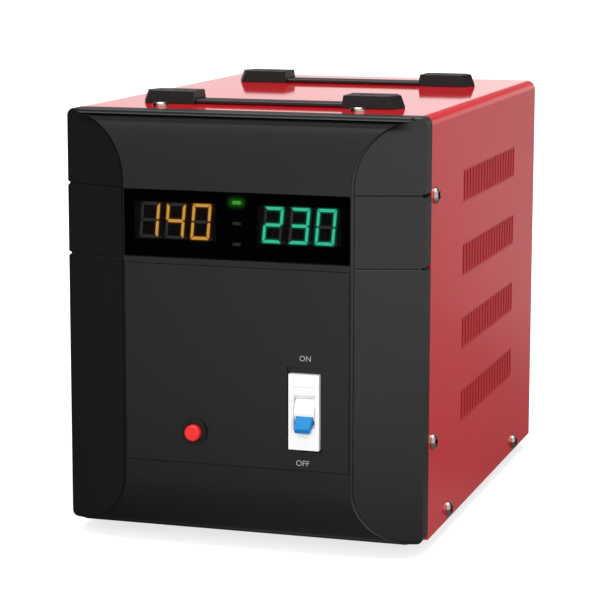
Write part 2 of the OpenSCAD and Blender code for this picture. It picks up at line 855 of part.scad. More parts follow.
module output_digits_lit() color([0.1, 0.9, 0.65]) digit_bars(module_x, lit_output_segments, true);

module output_digits_unlit() {
    color([0.3, 0.3, 0.3]) {
        digit_bars(module_x, lit_output_segments, false);
        digit_dots(module_x);
    }
}

module indicator(step) {
    across_y(segment_front_y, display_board_y - segment_front_y)
        translate([0, base_z + window_z + step * led_pitch + display_rise])
        square([led_w, led_h], center = true);
}

module working_light() color([0.3, 1, 0.3]) indicator(1);

module status_lights() {
    color([0.35, 0.35, 0.35]) {
        indicator(0);
        indicator(-1);
    }
}

// Side view of the breaker: stepped nose, bevelled shoulders and the seat for the rail
module breaker_outline() {
    half = breaker_h / 2;
    seat = rail_h / 2 + rail_fit;
    polygon([[0, -nose_h / 2], [0, nose_h / 2], [nose_d, nose_h / 2], [nose_d, half - shoulder_step],
        [nose_d + shoulder_step, half], [breaker_d, half], [breaker_d, seat],
        [breaker_d - rail_notch_d, seat],
        [breaker_d - rail_notch_d, -seat], [breaker_d, -seat], [breaker_d, -half],
        [nose_d + shoulder_step, -half], [nose_d, shoulder_step - half], [nose_d, -nose_h / 2]]);
}

// Where a side of the lever lies when it is turned by an angle, with room to run beside it
function lever_side_at(angle, side) = [
    for (p = [[-lever_seat, lever_root_t / 2], [-lever_reach, lever_tip_t / 2]])
    [p[0] * cos(angle) - side * (p[1] + toggle_run) * sin(angle),
        p[0] * sin(angle) + side * (p[1] + toggle_run) * cos(angle)]];

// Side view of the room that the lever needs to swing through
module lever_sweep() {
    upper = lever_side_at(-toggle_throw / 2, 1);
    lower = lever_side_at(toggle_throw / 2, -1);
    polygon([upper[0], upper[1], lower[1], lower[0]]);
}

module breaker_body() {
    slot_w = toggle_w + 2 * toggle_run;
    color([0.93, 0.93, 0.91]) difference() {
        across_x(breaker_x - breaker_w / 2, breaker_w)
            translate([nose_y, base_z + breaker_z]) breaker_outline();
        across_x(breaker_x - slot_w / 2, slot_w) translate([pivot_y, base_z + breaker_z]) lever_sweep();
        rod_x(breaker_x - slot_w / 2, breaker_x + slot_w / 2, pivot_y, base_z + breaker_z,
            drum_r + toggle_run);
        rod_x(breaker_x - slot_w / 2 - axle_out, breaker_x + slot_w / 2 + axle_out, pivot_y,
            base_z + breaker_z, axle_r + axle_run);
        across_y(nose_y - overrun, nose_pocket_d + overrun) translate([breaker_x, base_z + breaker_z])
            square([nose_pocket_w, nose_pocket_h], center = true);
    }
}

// Puts its children at the toggle's axis, turned to the off position
module at_toggle() {
    translate([breaker_x, pivot_y, base_z + breaker_z]) rotate([toggle_throw / 2, 0, 0]) children();
}

module toggle_drum() {
    axle_half = toggle_w / 2 + axle_out;
    color([0.95, 0.95, 0.93]) at_toggle() difference() {
        union() {
            rod_x(-toggle_w / 2, toggle_w / 2, 0, 0, drum_r);
            rod_x(-axle_half, axle_half, 0, 0, axle_r);
        }
        lever_blade();
    }
}

// Side view of the lever, from its root in the drum to its tip
module lever_blade() {
    across_x(-lever_w / 2, lever_w) polygon([
        [-lever_seat, -lever_root_t / 2], [-lever_seat, lever_root_t / 2],
        [-lever_reach, lever_tip_t / 2], [-lever_reach, -lever_tip_t / 2]]);
}

module breaker_toggle() {
    color([0.1, 0.5, 0.9]) at_toggle() lever_blade();
}

module breaker_rail() {
    color([0.75, 0.76, 0.78]) across_x(breaker_x - rail_len / 2, rail_len)
        translate([rail_y, base_z + breaker_z]) {
            for (end = [-1, 1]) translate([rail_t / 2, end * (rail_h + rail_hat_h - 2 * rail_t) / 4])
                square([rail_t, (rail_h - rail_hat_h + 2 * rail_t) / 2], center = true);
            for (end = [-1, 1]) translate([rail_d / 2, end * (rail_hat_h - rail_t) / 2])
                square([rail_d, rail_t], center = true);
            translate([rail_d - rail_t / 2, 0]) square([rail_t, rail_hat_h], center = true);
        }
}

module rail_bracket() {
    foot_y = front_y + sheet_t;
    low_z = base_z + breaker_z - bracket_half_h;
    high_z = base_z + breaker_z + bracket_half_h;
    color([0.3, 0.3, 0.32]) translate([breaker_x, 0, 0]) {
        block([-arm_half, rail_back_y, low_z], [arm_half, rail_back_y + sheet_t, high_z]);
        both_sides() {
            block([arm_half - sheet_t, foot_y, low_z], [arm_half, rail_back_y + sheet_t, high_z]);
            block([arm_half - sheet_t, foot_y, low_z], [arm_half + arm_foot, foot_y + sheet_t, high_z]);
        }
    }
}

module button_housing() {
    back_y = face_y + button_body_len;
    color([0.04, 0.04, 0.04]) translate([-button_x, 0, base_z + button_z]) {
        difference() {
            union() {
                rod_y(0, face_y - collar_h, face_y, 0, collar_r);
                rod_y(0, face_y, back_y, 0, button_body_r);
            }
            rod_y(0, face_y - collar_h - overrun, face_y + cap_inside + cap_travel + cap_run, 0,
                cap_r + cap_run);
        }
        for (side = [-1, 1]) translate([side * solder_tag_x, back_y + solder_tag_len / 2, 0])
            cube([solder_tag_w, solder_tag_len, solder_tag_t], center = true);
    }
}

module button_cap() {
    color([0.9, 0.08, 0.06]) translate([-button_x, face_y - cap_out, base_z + button_z])
        rotate([-90, 0, 0]) {
            cylinder(h = cap_edge, r1 = cap_r - cap_edge, r2 = cap_r);
            translate([0, 0, cap_edge]) cylinder(h = cap_out + cap_inside - cap_edge, r = cap_r);
        }
}

module button_nut() {
    nut_y = face_y + moulding_t;
    color([0.8, 0.8, 0.78]) difference() {
        translate([-button_x, nut_y, base_z + button_z]) rotate([-90, 0, 0])
            cylinder(h = nut_t, r = nut_w / 2, $fn = 6);
        rod_y(-button_x, nut_y - overrun, nut_y + nut_t + overrun, base_z + button_z,
            button_body_r + screw_fit);
    }
}

// Plan of an end cap with its pointed outer end, drawn in at the sides and at the point
module end_cap_plan(side_in, point_in) {
    half = end_cap_w / 2 - side_in;
    outer = handle_reach - point_in;
    polygon([[strap_half + side_in, -half], [outer - end_cap_point, -half], [outer, 0],
        [outer - end_cap_point, half], [strap_half + side_in, half]]);
}

module end_cap() {
    pocket_w = strap_w + 2 * strap_pocket_gap;
    pocket_top = strap_lift + strap_t + strap_pocket_gap;
    difference() {
        hull() {
            linear_extrude(end_cap_foot_h) end_cap_plan(0, 0);
            linear_extrude(end_cap_h) end_cap_plan(end_cap_side_draft, end_cap_point_draft);
        }
        block([strap_half - overrun, -pocket_w / 2, -overrun],
            [end_cap_screw_x + strap_tail, pocket_w / 2, pocket_top]);
        rod_z(end_cap_screw_x, 0, -overrun, end_cap_h + overrun, handle_screw_r + screw_fit);
        rod_z(end_cap_screw_x, 0, end_cap_h - handle_screw_sink, end_cap_h + overrun,
            handle_screw_head_r + strap_pocket_gap);
    }
}

module handle_end_caps() {
    color([0.05, 0.05, 0.05]) for (y = [front_handle_y, rear_handle_y])
        translate([0, front_y + y, top_z]) both_sides() end_cap();
}

// The flat middle of a strap, which is what the hand lifts
module strap_grip(y) {
    color([0.07, 0.07, 0.07]) translate([0, front_y + y, top_z + strap_lift + strap_t / 2])
        across_x(-grip_half, 2 * grip_half) rounded_rect(strap_w, strap_t, strap_edge_r);
}

// The two ends of a strap, which bend and slide in the end caps
module strap_ends(y) {
    tail_x = end_cap_screw_x + strap_tail - strap_pocket_gap;
    color([0.07, 0.07, 0.07]) translate([0, front_y + y, top_z + strap_lift]) both_sides() difference() {
        translate([0, 0, strap_t / 2]) across_x(grip_half, tail_x - grip_half)
            rounded_rect(strap_w, strap_t, strap_edge_r);
        translate([end_cap_screw_x + strap_slot_len / 2, 0, -overrun])
            linear_extrude(strap_t + 2 * overrun) rotate(90)
            slot_shape(2 * handle_screw_r + strap_pocket_gap, strap_slot_len + 2 * handle_screw_r);
    }
}

module front_strap() strap_grip(front_handle_y);
module rear_strap() strap_grip(rear_handle_y);
module front_strap_ends() strap_ends(front_handle_y);
module rear_strap_ends() strap_ends(rear_handle_y);

module handle_screws() {
    color([0.12, 0.12, 0.12]) for (y = [front_handle_y, rear_handle_y], side = [-1, 1])
        translate([side * end_cap_screw_x, front_y + y, top_z + end_cap_h - handle_screw_sink])
            pan_screw(handle_screw_head_r, handle_screw_head_h, handle_screw_r,
                end_cap_h - handle_screw_sink + handle_screw_below);
}

module cover_screws() {
    color([0.8, 0.79, 0.76]) {
        both_sides() {
            for (p = side_screw_places) translate([case_w / 2, front_y + p[0], base_z + p[1]])
                rotate([0, 90, 0]) pan_screw(screw_head_r, screw_head_h, screw_r, screw_len);
            translate([top_screw_x, front_y + top_screw_y, top_z])
                pan_screw(screw_head_r, screw_head_h, screw_r, screw_len);
        }
    }
}

module rear_screws() {
    color([0.8, 0.79, 0.76]) for (p = rear_screw_places) translate([p[0], rear_y, p[1]]) rotate([-90, 0, 0])
        pan_screw(screw_head_r, screw_head_h, screw_r, rear_screw_len);
}

module moulding_screws() {
    color([0.8, 0.79, 0.76]) for (p = boss_places) translate([p[0], front_y + sheet_t, p[1]])
        rotate([-90, 0, 0]) pan_screw(moulding_screw_head_r, moulding_screw_head_h, moulding_screw_r,
            sheet_t + moulding_screw_len - overrun);
}

module rubber_feet() {
    color([0.05, 0.05, 0.05]) for (p = foot_places) translate([p[0], p[1], 0]) difference() {
        cylinder(h = foot_h, r1 = foot_r - foot_taper, r2 = foot_r);
        translate([0, 0, -overrun]) cylinder(h = foot_sink_d + overrun, r = foot_sink_r);
        translate([0, 0, -overrun]) cylinder(h = foot_h + 2 * overrun, r = screw_hole_r);
    }
}

module foot_screws() {
    color([0.8, 0.79, 0.76]) for (p = foot_places) translate([p[0], p[1], foot_sink_d]) rotate([180, 0, 0])
        pan_screw(foot_screw_head_r, foot_screw_head_h, screw_r, foot_screw_len);
}

// Section of the wound ring, drawn in by an inset
module coil_section(inset, round_r) {
    translate([(coil_r + coil_hole_r) / 2, coil_floor_z + coil_h / 2])
        rounded_rect(coil_r - coil_hole_r - 2 * inset, coil_h - 2 * inset, round_r);
}

module transformer_winding() {
    color([0.85, 0.7, 0.25]) translate([0, coil_mid_y, 0]) rotate_extrude() difference() {
        coil_section(0, winding_round);
        translate([(coil_r + coil_hole_r) / 2, coil_floor_z + coil_h / 2])
            square([coil_r - coil_hole_r - 2 * winding_t, coil_h - 2 * winding_t], center = true);
    }
}

module transformer_core() {
    color([0.45, 0.45, 0.48]) translate([0, coil_mid_y, 0]) rotate_extrude()
        translate([(coil_r + coil_hole_r) / 2, coil_floor_z + coil_h / 2])
        square([coil_r - coil_hole_r - 2 * winding_t, coil_h - 2 * winding_t], center = true);
}

module transformer_pads() {
    color([0.08, 0.08, 0.08]) for (z = [floor_z, coil_top_z]) translate([0, coil_mid_y, z]) difference() {
        cylinder(h = pad_t, r = disc_r + winding_round);
        translate([0, 0, -overrun]) cylinder(h = pad_t + 2 * overrun, r = coil_hole_r - winding_round);
    }
}

module clamp_disc() {
    inner_r = coil_hole_r - winding_round / 2;
    low_z = coil_top_z + pad_t - disc_dish;
    color([0.7, 0.71, 0.73]) translate([0, coil_mid_y, 0]) rotate_extrude() polygon([
        [bolt_r + bolt_fit, low_z], [coil_hole_r - winding_round - disc_t, low_z],
        [coil_hole_r - winding_round - bolt_fit, coil_top_z + pad_t], [disc_r, coil_top_z + pad_t],
        [disc_r, coil_top_z + pad_t + disc_t],
        [inner_r - winding_round + bolt_fit, coil_top_z + pad_t + disc_t],
        [coil_hole_r - winding_round - 2 * disc_t, low_z + disc_t], [bolt_r + bolt_fit, low_z + disc_t]]);
}

module clamp_bolt() {
    nut_z = coil_top_z + pad_t - disc_dish + disc_t;
    color([0.75, 0.76, 0.78]) translate([0, coil_mid_y, 0]) {
        rod_z(0, 0, base_z - bolt_head_h, nut_z + bolt_nut_h + bolt_above, bolt_r);
        translate([0, 0, base_z - bolt_head_h])
            cylinder(h = bolt_head_h, r = bolt_head_w / 2 / cos(30), $fn = 6);
        translate([0, 0, nut_z]) cylinder(h = bolt_nut_h, r = bolt_head_w / 2 / cos(30), $fn = 6);
    }
}

module control_bracket() {
    plate_front = front_y + bracket_y;
    color([0.3, 0.3, 0.32]) {
        block([-bracket_w / 2, plate_front, floor_z],
            [bracket_w / 2, plate_front + sheet_t, floor_z + bracket_h]);
        block([-bracket_w / 2, plate_front - bracket_foot, floor_z],
            [bracket_w / 2, plate_front + sheet_t, floor_z + sheet_t]);
    }
}

module control_board() {
    color([0.05, 0.3, 0.15]) block([-board_w / 2, board_y, board_top_z - board_h],
        [board_w / 2, board_y + board_t, board_top_z]);
}

module board_spacers() {
    color([0.85, 0.7, 0.3])
        for (x = [-1, 1], z = [board_top_z - spacer_in, board_top_z - board_h + spacer_in])
            rod_y(x * (board_w / 2 - spacer_in), front_y + bracket_y + sheet_t, board_y, z, spacer_r);
}

module relays() {
    color([0.1, 0.25, 0.55]) for (i = [0 : relay_count - 1])
        translate([(i - (relay_count - 1) / 2) * relay_pitch - relay_w / 2, board_y + board_t,
            board_top_z - relay_in - relay_h]) cube([relay_w, relay_d, relay_h]);
}

module capacitors() {
    color([0.1, 0.12, 0.3]) for (i = [0 : capacitor_count - 1])
        rod_y((i - (capacitor_count - 1) / 2) * capacitor_pitch, board_y + board_t,
            board_y + board_t + capacitor_len, board_top_z - board_h + capacitor_in, capacitor_r);
}

terminal_columns = [for (i = [0 : terminal_count - 1]) (i - (terminal_count - 1) / 2) * terminal_pitch];
block_mid_z = base_z + block_z;
terminal_floor_y = rear_panel_y + block_d - barrier_d;

module terminal_block() {
    color([0.06, 0.06, 0.06]) difference() {
        block([-block_w / 2, rear_panel_y, block_mid_z - block_h / 2],
            [block_w / 2, rear_panel_y + block_d, block_mid_z + block_h / 2]);
        for (x = terminal_columns) {
            block([x - (terminal_pitch - barrier_t) / 2, terminal_floor_y,
                block_mid_z - block_h / 2 - overrun],
                [x + (terminal_pitch - barrier_t) / 2, rear_panel_y + block_d + overrun,
                    block_mid_z - barrier_t / 2]);
            block([x - (terminal_pitch - barrier_t) / 2, terminal_floor_y, block_mid_z + barrier_t / 2],
                [x + (terminal_pitch - barrier_t) / 2, rear_panel_y + block_d + overrun,
                    block_mid_z + block_h / 2 + overrun]);
            for (row = [-1, 1]) rod_y(x, terminal_floor_y - terminal_sink, terminal_floor_y + overrun,
                block_mid_z + row * terminal_row_z, terminal_screw_r + screw_fit);
        }
        for (side = [-1, 1]) rod_y(side * (block_w / 2 - block_hole_in), rear_panel_y - overrun,
            rear_panel_y + block_d + overrun, block_mid_z, cover_screw_r + screw_fit);
    }
}

module terminal_screws() {
    color([0.85, 0.75, 0.4]) for (x = terminal_columns, row = [-1, 1])
        translate([x, terminal_floor_y, block_mid_z + row * terminal_row_z]) {
            translate([0, terminal_plate_t / 2, 0])
                cube([terminal_plate_w, terminal_plate_t, terminal_plate_h], center = true);
            rotate([-90, 0, 0]) translate([0, 0, terminal_plate_t])
                pan_screw(terminal_head_r, terminal_head_h, terminal_screw_r,
                    terminal_plate_t + terminal_sink);
        }
}

// Hood over the terminals, closed on top and at the back and open below for the cables
module terminal_cover() {
    half_w = block_w / 2 + cover_gap + terminal_cover_t;
    low_z = block_mid_z - block_h / 2 - cover_skirt;
    high_z = block_mid_z + block_h / 2 + cover_gap + terminal_cover_t;
    back_y = rear_panel_y + terminal_cover_d;
    color([0.08, 0.08, 0.08]) difference() {
        union() {
            difference() {
                block([-half_w, rear_panel_y, low_z], [half_w, back_y, high_z]);
                block([terminal_cover_t - half_w, rear_panel_y - overrun, low_z - overrun],
                    [half_w - terminal_cover_t, back_y - terminal_cover_t, high_z - terminal_cover_t]);
            }
            for (side = [-1, 1]) rod_y(side * (block_w / 2 - block_hole_in), rear_panel_y + block_d, back_y,
                block_mid_z, cover_screw_head_r);
        }
        for (side = [-1, 1]) rod_y(side * (block_w / 2 - block_hole_in), rear_panel_y, back_y + overrun,
            block_mid_z, cover_screw_r + screw_fit);
    }
}

module terminal_cover_screws() {
    color([0.8, 0.79, 0.76]) for (side = [-1, 1])
        translate([side * (block_w / 2 - block_hole_in), rear_panel_y + terminal_cover_d, block_mid_z])
            rotate([-90, 0, 0]) pan_screw(cover_screw_head_r, cover_screw_out, cover_screw_r,
                terminal_cover_d + cover_screw_len);
}

cover();
base_pan();
front_frame();
rear_panel();
front_moulding();
control_plate();
display_window();
display_board();
display_screws();
input_display();
output_display();
input_digits_lit();
input_digits_unlit();
output_digits_lit();
output_digits_unlit();
working_light();
status_lights();
breaker_body();
toggle_drum();
breaker_toggle();
breaker_rail();
rail_bracket();
button_housing();
button_cap();
button_nut();
handle_end_caps();
front_strap();
front_strap_ends();
rear_strap();
rear_strap_ends();
handle_screws();
cover_screws();
rear_screws();
moulding_screws();
rubber_feet();
foot_screws();
transformer_winding();
transformer_core();
transformer_pads();
clamp_disc();
clamp_bolt();
control_bracket();
control_board();
board_spacers();
relays();
capacitors();
terminal_block();
terminal_screws();
terminal_cover();
terminal_cover_screws();
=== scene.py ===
"""Dresses the voltage stabilizer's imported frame: gloss red cover, black front moulding, displays,
breaker, push button and strap handles. Metres; X to the right, Y to the back, Z up, the origin on
the floor."""
import json
import math

import bmesh
import bpy
from mathutils import Matrix, Vector


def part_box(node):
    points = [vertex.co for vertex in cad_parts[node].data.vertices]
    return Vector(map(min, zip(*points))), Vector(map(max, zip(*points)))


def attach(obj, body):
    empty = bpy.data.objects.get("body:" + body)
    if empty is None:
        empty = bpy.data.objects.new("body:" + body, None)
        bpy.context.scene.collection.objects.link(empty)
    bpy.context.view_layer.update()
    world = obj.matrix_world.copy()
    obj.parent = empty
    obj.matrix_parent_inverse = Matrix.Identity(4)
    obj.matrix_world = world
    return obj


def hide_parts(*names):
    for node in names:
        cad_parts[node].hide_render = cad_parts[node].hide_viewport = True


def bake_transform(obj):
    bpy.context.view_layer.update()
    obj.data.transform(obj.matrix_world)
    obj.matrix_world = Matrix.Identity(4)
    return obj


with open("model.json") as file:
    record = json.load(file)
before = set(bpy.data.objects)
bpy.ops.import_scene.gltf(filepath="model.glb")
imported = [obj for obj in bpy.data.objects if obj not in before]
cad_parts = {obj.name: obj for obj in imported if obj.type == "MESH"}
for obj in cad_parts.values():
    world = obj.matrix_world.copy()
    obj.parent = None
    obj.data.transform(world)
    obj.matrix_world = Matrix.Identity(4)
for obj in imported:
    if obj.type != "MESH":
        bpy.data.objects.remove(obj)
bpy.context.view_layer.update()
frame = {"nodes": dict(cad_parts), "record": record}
MM = 0.001

cover_low, cover_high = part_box("cover")
FRONT, BACK = cover_low.y, cover_high.y
BASE, TOP = cover_low.z, cover_high.z
HALF_W = cover_high.x


def link(name, data):
    """A new object in the scene."""
    thing = bpy.data.objects.new(name, data)
    bpy.context.scene.collection.objects.link(thing)
    return thing


def photo_camera():
    """Camera at the photograph's viewpoint, turned by yaw, pitch and roll."""
    data = bpy.data.cameras.new("photo_camera")
    data.sensor_width = 36
    data.lens = 137.768
    data.clip_end = 50
    yaw, pitch, roll = (math.radians(a) for a in (17.067, 9.601, 0.112))
    ahead = Vector((-math.sin(yaw) * math.cos(pitch), math.cos(yaw) * math.cos(pitch),
                    -math.sin(pitch)))
    level = Vector((math.cos(yaw), math.sin(yaw), 0))
    up = level.cross(ahead)
    right = level * math.cos(roll) + up * math.sin(roll)
    top = up * math.cos(roll) - level * math.sin(roll)
    place = Matrix.Translation(Vector((0.41069, FRONT - 1.23784, BASE + 0.35344)))
    camera = link("photo_camera", data)
    camera.matrix_world = place @ Matrix((right, top, -ahead)).transposed().to_4x4()
    bpy.context.scene.camera = camera


photo_camera()


class Value:
    """An output socket; arithmetic on it adds Math nodes to its tree."""

    def __init__(self, socket):
        self.socket = socket

    def _math(self, operation, *operands):
        return Tree(self.socket.id_data).add("ShaderNodeMath", {"operation": operation},
                                             dict(enumerate(operands)))

    def __add__(self, other):
        return self._math("ADD", self, other)

    def __radd__(self, other):
        return self._math("ADD", other, self)

    def __sub__(self, other):
        return self._math("SUBTRACT", self, other)

    def __rsub__(self, other):
        return self._math("SUBTRACT", other, self)

    def __mul__(self, other):
        return self._math("MULTIPLY", self, other)

    def __rmul__(self, other):
        return self._math("MULTIPLY", other, self)

    def __pow__(self, other):
        return self._math("POWER", self, other)

    def __gt__(self, other):
        return self._math("GREATER_THAN", self, other)

    def __lt__(self, other):
        return self._math("LESS_THAN", self, other)

    def wrapped(self, period):
        return self._math("FLOORED_MODULO", self, period)

    def size(self):
        return self._math("ABSOLUTE", self)

    def at_least(self, floor):
        return self._math("MAXIMUM", self, floor)


class Tree:
    """Adds nodes to one node tree."""

    def __init__(self, nodes):
        self.nodes = nodes

    def add(self, kind, settings=None, sockets=None, out=0):
        """Makes a node, applies its settings and then the values or links of its sockets."""
        node = self.nodes.nodes.new(kind)
        for key, value in (settings or {}).items():
            setattr(node, key, value)
        for key, value in (sockets or {}).items():
            if isinstance(value, Value):
                self.nodes.links.new(value.socket, node.inputs[key])
            else:
                node.inputs[key].default_value = value
        return Value(node.outputs[out]) if len(node.outputs) else node

    def outputs(self, kind, sockets=None):
        """All outputs of a new node, by name."""
        node = self.add(kind, None, sockets).socket.node
        return {s.name: Value(s) for s in node.outputs}

    def place(self):
        """The point in the object's own coordinates."""
        return self.add("ShaderNodeTexCoord", out=3)

    def parts(self, vector):
        """The X, Y and Z of a vector."""
        return list(self.outputs("ShaderNodeSeparateXYZ", {0: vector}).values())

    def mix(self, share, first, second):
        """A colour between two colours."""
        return self.add("ShaderNodeMix", {"data_type": "RGBA"}, {0: share, 6: first, 7: second},
                        out=2)

    def noise(self, place, scale, detail=3.0, roughness=0.5):
        return self.add("ShaderNodeTexNoise", None, {
            "Vector": place, "Scale": scale, "Detail": detail, "Roughness": roughness})

    def ramp(self, share, low, high):
        """0 below low, 1 above high and even between."""
        return self.add("ShaderNodeMapRange", {"clamp": True}, {0: share, 1: low, 2: high})

    def bump(self, height, distance=1.0):
        return self.add("ShaderNodeBump", None, {
            "Strength": 1.0, "Distance": distance, "Height": height})

    def principled(self, sockets):
        return self.add("ShaderNodeBsdfPrincipled", None, sockets)

    def surface(self, shader):
        """Ends a material's tree with its shader."""
        self.add("ShaderNodeOutputMaterial", None, {"Surface": shader})


def rgba(colour):
    return (*colour, 1.0)


def grey(level):
    return (level, level, level, 1.0)


def new_material(name):
    material = bpy.data.materials.new(name)
    material.use_nodes = True
    material.node_tree.nodes.clear()
    return material, Tree(material.node_tree)


def finish(name, colour, roughness, metallic=0.0, shade=0.12, shade_scale=60.0, grain=0.0,
           grain_scale=2500.0, ripple=0.0, ripple_scale=220.0, smudge=0.06, coat=0.0,
           specular=0.5):
    """A moulded, painted or plated surface: colour drift, fine grain, ripple, faint smudges."""
    material, tree = new_material(name)
    place = tree.place()
    drift = tree.noise(place, shade_scale, 4.0)
    dark = rgba([c * (1 - shade) for c in colour])
    light = rgba([min(1.0, c * (1 + shade)) for c in colour])
    sockets = {
        "Base Color": tree.mix(drift, dark, light),
        "Roughness": roughness + (tree.noise(place, 28.0, 5.0, 0.6) - 0.5) * (2 * smudge),
        "Metallic": metallic, "Coat Weight": coat, "Coat Roughness": 0.05,
        "Specular IOR Level": specular, "IOR": 1.5}
    if grain:
        sockets["Normal"] = tree.bump(tree.noise(place, grain_scale, 2.0) * grain)
    elif ripple:
        sockets["Normal"] = tree.bump(tree.noise(place, ripple_scale, 1.5) * ripple)
    tree.surface(tree.principled(sockets))
    return material


def lit_segment(name, colour, strength, edge_colour):
    """A light-up bar, with a warmer or deeper tone where the diffuser is mottled."""
    material, tree = new_material(name)
    mottle = tree.ramp(tree.noise(tree.place(), 900.0, 2.0), 0.3, 0.7)
    tree.surface(tree.principled({
        "Base Color": tree.mix(mottle, grey(0.02), rgba([c * 0.2 for c in colour])),
        "Roughness": 0.4 + mottle * 0.1,
        "Emission Color": tree.mix(mottle, rgba(edge_colour), rgba(colour)),
        "Emission Strength": strength}))
    return material


def halo(name, colour):
    """Light that spills from a bar onto the black face round it and fades outwards."""
    material, tree = new_material(name)
    fade = tree.add("ShaderNodeAttribute", {"attribute_name": "fade"}, out=2)
    tree.surface(tree.principled({
        "Base Color": grey(0.002), "Roughness": 0.6, "Specular IOR Level": 0.0,
        "Emission Color": rgba(colour), "Emission Strength": 1.0, "Alpha": fade}))
    return material


def smoked_glass(name):
    """Dark smoked acrylic: the bars behind shine through and the room shows only faintly."""
    material, tree = new_material(name)
    haze = tree.noise(tree.place(), 30.0, 4.0)
    tree.surface(tree.principled({
        "Base Color": tree.mix(haze, (0.0004, 0.0004, 0.0005, 1), (0.0007, 0.0007, 0.0008, 1)),
        "Roughness": 0.1 + haze * 0.06, "Specular IOR Level": 0.02,
        "Alpha": 0.44 + haze * 0.02}))
    return material


def moulding_black(name, lip):
    """Glossy moulded black; the cove under the top lip, at height lip, gets painted shade: a darker
    black, rougher and with weak reflection.
    """
    material, tree = new_material(name)
    place = tree.place()
    x, _, z = tree.parts(place)
    drift = tree.noise(place, 60.0, 4.0)
    grain = tree.bump(tree.noise(place, 2200.0, 2.0) * 0.000005)
    gloss = tree.principled({
        "Base Color": tree.mix(drift, grey(0.0045), grey(0.0056)),
        "Roughness": 0.38 + tree.noise(place, 28.0, 5.0, 0.6) * 0.06, "Normal": grain})
    # painted shade: this darker, weakly reflecting black stands in for the shadow under the top lip
    matt = tree.principled({
        "Base Color": tree.mix(drift, grey(0.003), grey(0.004)), "Roughness": 0.7,
        "Specular IOR Level": 0.12, "Normal": grain})
    # where the painted shade lies: a band just below the lip that fades towards the ends
    under = tree.ramp(z, lip - 0.0062, lip - 0.0036) * (z < lip - 0.0001)
    lip_shade = under * tree.ramp(x.size(), 0.1, 0.09)
    tree.surface(tree.add("ShaderNodeMixShader", None, {0: lip_shade, 1: gloss, 2: matt}))
    return material


# The four rows of slots in each side of the cover: their pitch, and the middle of them all
SLOT_PITCH = 0.0441
SLOTS_Y = FRONT + 0.1503
SLOTS_Z = BASE + 0.128


def red_enamel(name):
    """Gloss red enamel with faint orange peel; the bands round the slots get painted shade, a
    darker red, and are rougher.
    """
    material, tree = new_material(name)
    place = tree.place()
    x, y, z = tree.parts(place)
    across = (z - SLOTS_Z).wrapped(SLOT_PITCH) - SLOT_PITCH / 2
    near_row = tree.ramp(across.size(), 0.0104, 0.0088)
    near_row = near_row * ((z - SLOTS_Z).size() < 1.9 * SLOT_PITCH)
    along_row = tree.ramp((y - SLOTS_Y).size(), 0.0732, 0.0716)
    slot_band_shade = near_row * along_row * (x.size() > HALF_W - 0.004)
    base = tree.mix(tree.noise(place, 60.0, 4.0), (0.77, 0.0085, 0.0185, 1),
                    (0.83, 0.0095, 0.0195, 1))
    tree.surface(tree.principled({
        # painted shade: the slot bands take a darker red
        "Base Color": tree.mix(slot_band_shade, base, (0.56, 0.008, 0.016, 1)),
        "Roughness": 0.05 + tree.noise(place, 28.0, 5.0, 0.6) * 0.03 + slot_band_shade * 0.36,
        "Normal": tree.bump(tree.noise(place, 420.0, 1.0) * 0.0000025)}))
    return material


def mask_black(name):
    """Black print behind the window, with the green pool that the working light throws on it."""
    material, tree = new_material(name)
    low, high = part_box("working_light")
    place = tree.place()
    x, _, z = tree.parts(place)
    aside = (x.size() - (high.x - 0.0006)).at_least(0.0)
    apart = (aside ** 2 + ((z - (low.z + high.z) / 2) * 1.1) ** 2) ** 0.5
    pool = tree.ramp(apart, 0.0062, 0.0002) ** 3.4
    tree.surface(tree.principled({
        "Base Color": tree.mix(tree.noise(place, 300.0), grey(0.0004), grey(0.0007)),
        "Roughness": 0.6, "Specular IOR Level": 0.0,
        "Emission Color": tree.mix(pool, (0, 0, 0, 1), (0.05, 0.5, 0.03, 1)),
        "Emission Strength": 0.62}))
    return material


def circuit_board(name):
    """Green solder mask over a maze of copper tracks with tinned pads."""
    material, tree = new_material(name)
    place = tree.place()
    x, _, z = tree.parts(place)
    lane_x = (x + tree.noise(place, 60.0, 0.0) * 0.02).wrapped(0.0042)
    lane_z = (z + tree.noise(place, 45.0, 0.0) * 0.02).wrapped(0.0056)
    tracks = (lane_x < 0.0012) + (lane_z < 0.0011)
    tinned = tree.add("ShaderNodeTexVoronoi", None, {"Vector": place, "Scale": 160.0}) < 0.16
    green = tree.mix(tree.ramp(tracks, 0.0, 1.0), (0.008, 0.07, 0.03, 1), (0.02, 0.17, 0.07, 1))
    tree.surface(tree.principled({
        "Base Color": tree.mix(tinned, green, (0.6, 0.6, 0.58, 1)), "Metallic": tinned,
        "Roughness": 0.35 - tinned * 0.1, "Normal": tree.bump(tracks, 0.00005)}))
    return material


def taped_winding(name):
    """Overlapping turns of yellow film tape around the ring."""
    material, tree = new_material(name)
    low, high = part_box("transformer_winding")
    middle = (low + high) / 2
    place = tree.place()
    x, y, _ = tree.parts(place)
    turn = tree.add("ShaderNodeMath", {"operation": "ARCTAN2"},
                    {0: y - middle.y, 1: x - middle.x})
    laps = 64
    lap = (turn * (laps / (2 * math.pi))).wrapped(1.0)
    edge = tree.ramp(lap, 0.0, 0.12)
    yellow = tree.mix(lap, (0.62, 0.42, 0.05, 1), (0.85, 0.66, 0.14, 1))
    tree.surface(tree.principled({
        "Base Color": tree.mix(edge, (0.3, 0.18, 0.02, 1), yellow),
        "Roughness": 0.25 + tree.noise(place, 90.0) * 0.15,
        "Normal": tree.bump(lap * edge, 0.0004)}))
    return material


